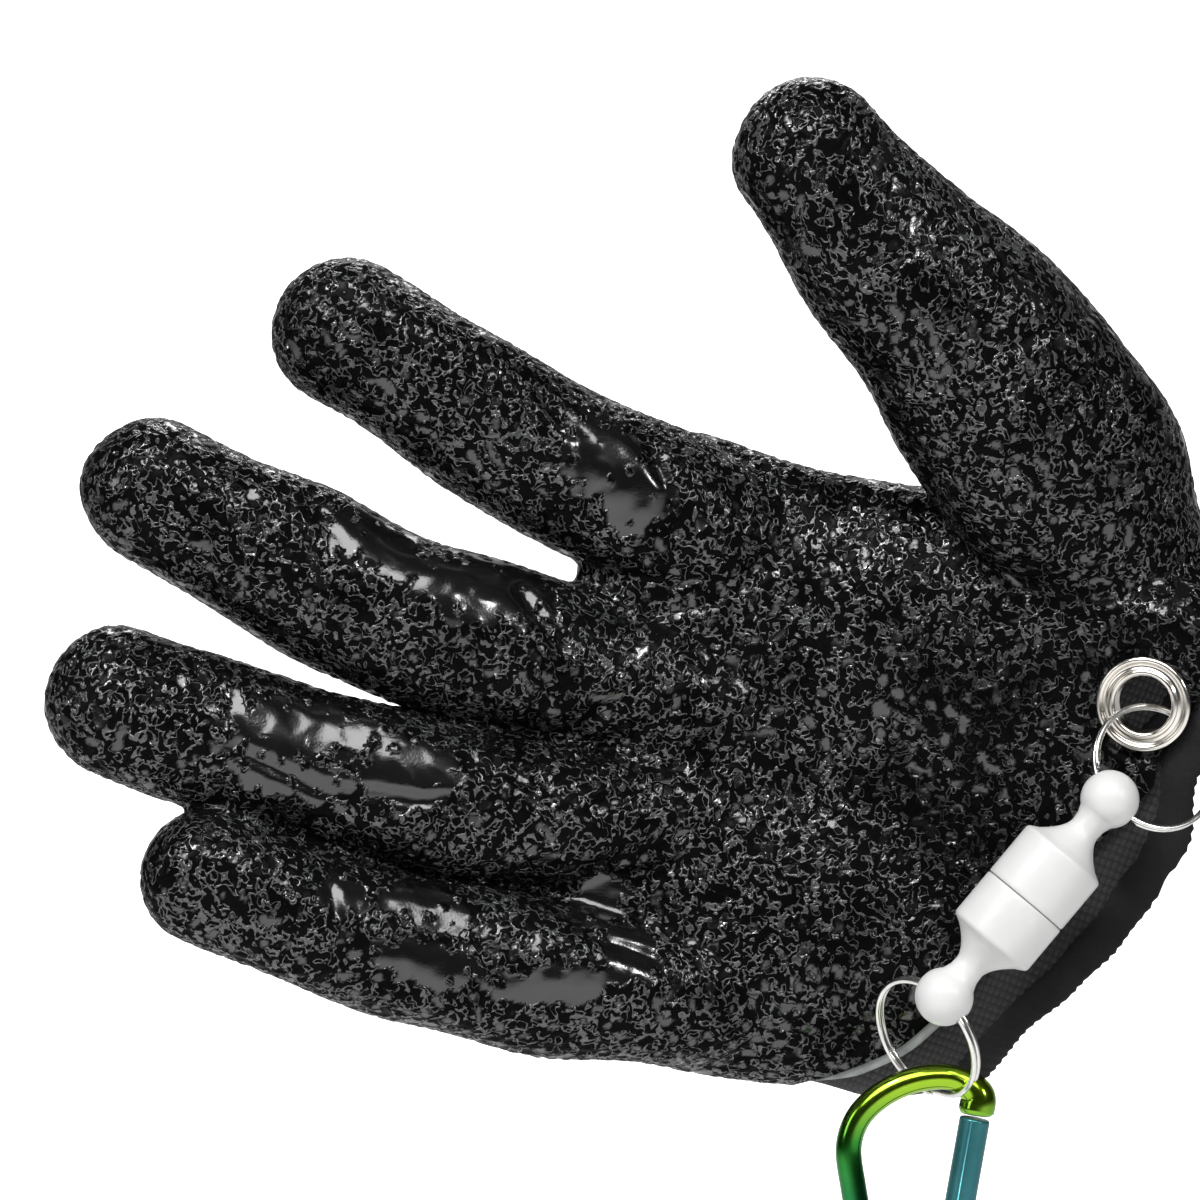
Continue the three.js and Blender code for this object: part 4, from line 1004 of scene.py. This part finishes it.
# --- Magnetic release ------------------------------------------------------------------------
# Two white moulded shells, each with a magnet inside, meet at a fine parting line and end in a
# waisted neck and a ball. A cross hole in each ball takes its ring.
release_white, nodes, links, shader = new_material("release_white")
noise = grain(nodes, 1400, 70)
tone = ramp(nodes, links, noise.outputs["Coarse"], [(0.3, (0.50, 0.50, 0.495)), (0.7, (0.56, 0.56, 0.555))])
links.new(tone.outputs["Color"], shader.inputs["Base Color"])
shader.inputs["Roughness"].default_value = 0.34
shader.inputs["Subsurface Weight"].default_value = 0.12
shader.inputs["Subsurface Radius"].default_value = (0.002, 0.002, 0.0018)
skin_bump = nodes.new("ShaderNodeBump")
skin_bump.inputs["Strength"].default_value = 0.08
skin_bump.inputs["Distance"].default_value = 0.0002
links.new(noise.outputs["Fine"], skin_bump.inputs["Height"])
links.new(skin_bump.outputs["Normal"], shader.inputs["Normal"])


def release_profile(length):
    """Half a release: parting face, barrel with a fine chamfer, shoulder, waisted neck and ball."""
    body, neck, ball = 7.35, 2.5, 4.65
    ball_height = length + 10.7
    profile = [(0, 0), (3, 0), (body - 0.35, 0), (body - 0.12, 0.06), (body, 0.28), (body, 0.9)]
    profile += [(body, z) for z in np.linspace(2.0, length - 1.6, 8)]
    profile += arc(body - 0.9, length - 1.3, 0.9, 0, 62, 8)
    for share in np.linspace(0.10, 1, 16):
        profile.append((neck + (body - 1.0 - neck) * (1 - share) ** 1.7, length - 0.35 + 4.9 * share))
    join = math.asin(neck / ball) + 0.10
    lead = ball_height - ball * math.cos(join)
    profile.append((neck + 0.1, (length + 4.55 + lead) / 2 + 0.1))
    for angle in np.linspace(join + 0.06, math.pi, 30):
        profile.append((ball * math.sin(angle), ball_height - ball * math.cos(angle)))
    return profile


def ring_hole(name, matrix, start, end, radius=1.25):
    """Tube along a stretch of a ring's circle, used to cut the ring's way through a ball."""
    angle = np.linspace(start, end, 24)
    path = placed(np.stack([ring_radius * np.cos(angle), ring_radius * np.sin(angle), angle * 0], -1), matrix)
    mesh = tube_mesh(name, path, radius / 1000, radius / 1000, 24, False, matrix[:3, 2])
    return shown(name, mesh, release_white)


for name, node, origin, direction, length, ring, angle in (
        ("release_shell_upper", "release_upper", (-22.499, -28.525, -1.345), (0.64279, 0, 0.76604), 10.2,
         upper_ring, 0.0),
        ("release_shell_lower", "release_lower", (-22.563, -28.525, -1.421), (-0.64279, 0, -0.76604), 9.2,
         lower_ring, math.radians(123))):
    matrix = frame_of(origin, (0, -1, 0), direction)
    half = shown(name, turned_mesh(name, release_profile(length), 96, matrix, closed=False), release_white)
    cutter = ring_hole("cutter", ring, angle - 0.6, angle + 0.6)
    cut = half.modifiers.new("ring_hole", "BOOLEAN")
    cut.object = cutter
    cut.solver = "EXACT"
    solid = bpy.data.meshes.new_from_object(half.evaluated_get(bpy.context.evaluated_depsgraph_get()))
    half.modifiers.clear()
    half.data = solid
    half.data.name = name
    bpy.data.objects.remove(cutter)
    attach(half, "glove")
    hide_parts(node)

# --- Carabiner -------------------------------------------------------------------------------
# A small clip bent from aluminium rod and anodised bright green, with a thick nose. Its colour runs
# from dark green below to lime on top: painted shade and a painted highlight. Its own straight gate of
# anodised tube turns on a rivet and is sprung shut; its teal colour is a painted reflection.
carabiner_length, carabiner_width = 46.0, 24.6
bow_shares = np.array([
    [0.36, -0.13], [0.372, -0.062], [0.23, -0.006], [0.02, -0.003], [-0.22, -0.05], [-0.40, -0.135],
    [-0.47, -0.235], [-0.44, -0.39], [-0.36, -0.60], [-0.27, -0.84], [-0.14, -0.955], [0.02, -0.96],
    [0.13, -0.905], [0.115, -0.80]])


def centripetal_curve(points, count):
    """Catmull-Rom curve through points with centripetal spacing, sampled evenly along its length."""
    first, last = 2 * points[0] - points[1], 2 * points[-1] - points[-2]
    p = np.vstack([first, points, last])
    samples = []
    for i in range(len(points) - 1):
        p0, p1, p2, p3 = p[i:i + 4]
        t0 = 0.0
        t1 = t0 + np.linalg.norm(p1 - p0) ** 0.5
        t2 = t1 + np.linalg.norm(p2 - p1) ** 0.5
        t3 = t2 + np.linalg.norm(p3 - p2) ** 0.5
        t = np.linspace(t1, t2, 60)[:, None]
        a1 = (t1 - t) / (t1 - t0) * p0 + (t - t0) / (t1 - t0) * p1
        a2 = (t2 - t) / (t2 - t1) * p1 + (t - t1) / (t2 - t1) * p2
        a3 = (t3 - t) / (t3 - t2) * p2 + (t - t2) / (t3 - t2) * p3
        b1 = (t2 - t) / (t2 - t0) * a1 + (t - t0) / (t2 - t0) * a2
        b2 = (t3 - t) / (t3 - t1) * a2 + (t - t1) / (t3 - t1) * a3
        samples.append((t2 - t) / (t2 - t1) * b1 + (t - t1) / (t2 - t1) * b2)
    curve = np.vstack(samples)
    run = np.concatenate([[0], np.cumsum(np.linalg.norm(np.diff(curve, axis=0), axis=1))])
    even = np.linspace(0, run[-1], count)
    return np.stack([np.interp(even, run, curve[:, k]) for k in range(curve.shape[1])], -1)


green_anodised_painted_highlight, nodes, links, shader = new_material("green_anodised_painted_highlight")
noise = grain(nodes, 1200, 160)
position = nodes.new("ShaderNodeTexCoord")
split = nodes.new("ShaderNodeSeparateXYZ")
links.new(position.outputs["Object"], split.inputs["Vector"])
# Painted light: the colour runs from dark green at the bottom to lime at the top, as painted shade below and a painted
# highlight along the top.
painted_top_light = nodes.new("ShaderNodeMapRange")
painted_top_light.inputs["From Min"].default_value = -0.052
painted_top_light.inputs["From Max"].default_value = -0.032
links.new(split.outputs["Z"], painted_top_light.inputs["Value"])
tone = ramp(nodes, links, painted_top_light.outputs["Result"],
            [(0.0, (0.003, 0.150, 0.040)), (0.55, (0.020, 0.24, 0.018)), (1.0, (0.27, 0.46, 0.015))])
links.new(tone.outputs["Color"], shader.inputs["Base Color"])
shader.inputs["Metallic"].default_value = 1
haze = nodes.new("ShaderNodeMapRange")
haze.inputs["To Min"].default_value = 0.10
haze.inputs["To Max"].default_value = 0.22
links.new(noise.outputs["Fine"], haze.inputs["Value"])
links.new(haze.outputs["Result"], shader.inputs["Roughness"])
shader.inputs["Coat Weight"].default_value = 0.4
shader.inputs["Coat Roughness"].default_value = 0.06

bow = centripetal_curve(bow_shares * np.array([carabiner_width, carabiner_length]), 260)
bow = np.stack([bow[:, 0], bow[:, 0] * 0, bow[:, 1]], -1)
share = np.linspace(0, 1, len(bow))
rod_radius = 2.9 - 0.8 * blurred_step(0.02, 0.10, share)
rod_radius = rod_radius * np.clip(0.86 + np.arange(len(bow)) * 0.07, 0, 1)
hang = np.array([-38.326, -19.939, -30.577])
tang = blurred_step(0.945, 0.965, share)
body = shown("carabiner_rod", tube_mesh("carabiner_rod", (bow + hang) / 1000, rod_radius * (1 - 0.571 * tang) / 1000,
                                        rod_radius / 1000, 40, False, np.array([0.0, 1.0, 0.0])), green_anodised_painted_highlight)
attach(body, "glove")
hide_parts("carabiner_body")

anodised_painted_teal_reflection, nodes, links, shader = new_material("anodised_painted_teal_reflection")
noise = grain(nodes, 1600, 120)
# Painted reflection: the gate's teal base colour stands in for the blue-green light it reflects.
tone = ramp(nodes, links, noise.outputs["Coarse"], [(0.3, (0.030, 0.150, 0.170)), (0.7, (0.050, 0.205, 0.225))])
links.new(tone.outputs["Color"], shader.inputs["Base Color"])
shader.inputs["Metallic"].default_value = 0.75
haze = nodes.new("ShaderNodeMapRange")
haze.inputs["To Min"].default_value = 0.26
haze.inputs["To Max"].default_value = 0.42
links.new(noise.outputs["Fine"], haze.inputs["Value"])
links.new(haze.outputs["Result"], shader.inputs["Roughness"])

gate_axis = np.array([0.17472, 0, 0.98462])
gate_frame = frame_of((-35.328, -19.939, -69.571), (0.98462, 0, -0.17472), gate_axis)
gate_low, gate_high = (np.array(c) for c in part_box("carabiner_gate"))
gate_top = (gate_high[2] * 1000 + 69.571) / gate_axis[2] - 0.4
gate_radius = 2.45
gate_profile = ([(gate_radius * math.sin(a) if a else 0, -gate_radius * math.cos(a))
                 for a in np.linspace(0, math.pi / 2, 12)]
                + [(gate_radius, z) for z in np.linspace(1, gate_top - 0.5, 20)]
                + arc(gate_radius - 0.4, gate_top - 0.4, 0.4, 0, 90, 6) + [(0, gate_top)])
gate = shown("gate_rod", turned_mesh("gate_rod", gate_profile, 48, gate_frame, closed=False), anodised_painted_teal_reflection)
slot_points = np.array([[x, y, z] for x in (-4, 4) for y in (-1.2, 1.2) for z in (-3.6, 3.6)])
fork = bpy.data.meshes.new("fork")
bm = bmesh.new()
bmesh.ops.convex_hull(bm, input=[bm.verts.new(p) for p in placed(slot_points, gate_frame)])
bmesh.ops.recalc_face_normals(bm, faces=bm.faces)
bm.to_mesh(fork)
bm.free()
cutter = shown("cutter", fork, anodised_painted_teal_reflection)
groove_path = placed(np.array([[-0.80, -2.55, 5.0], [-0.80, -2.55, gate_top + 1]]), gate_frame)
groove = shown("groove", tube_mesh("groove", groove_path, 0.00028, 0.00028, 12, False,
                                   gate_frame[:3, 1]), anodised_painted_teal_reflection)
for tool in (cutter, groove):
    cut = gate.modifiers.new("cut", "BOOLEAN")
    cut.object = tool
    cut.solver = "EXACT"
solid = bpy.data.meshes.new_from_object(gate.evaluated_get(bpy.context.evaluated_depsgraph_get()))
gate.modifiers.clear()
gate.data = solid
gate.data.name = "gate_rod"
bpy.data.objects.remove(cutter)
bpy.data.objects.remove(groove)
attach(gate, "gate")
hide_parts("carabiner_gate")

rivet_frame = frame_of((-35.328, -19.939, -69.571), (1, 0, 0), (0, 1, 0))
rivet_profile = [(0, -3.35), (0.7, -3.3), (1.1, -3.1), (1.4, -2.76), (0.7, -2.75), (0.7, 2.75), (1.4, 2.76),
                 (1.1, 3.1), (0.7, 3.3), (0, 3.35)]
rivet = shown("rivet", turned_mesh("rivet", rivet_profile, 40, rivet_frame, closed=False), ring_steel)
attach(rivet, "glove")
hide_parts("gate_rivet")

bpy.context.view_layer.update()
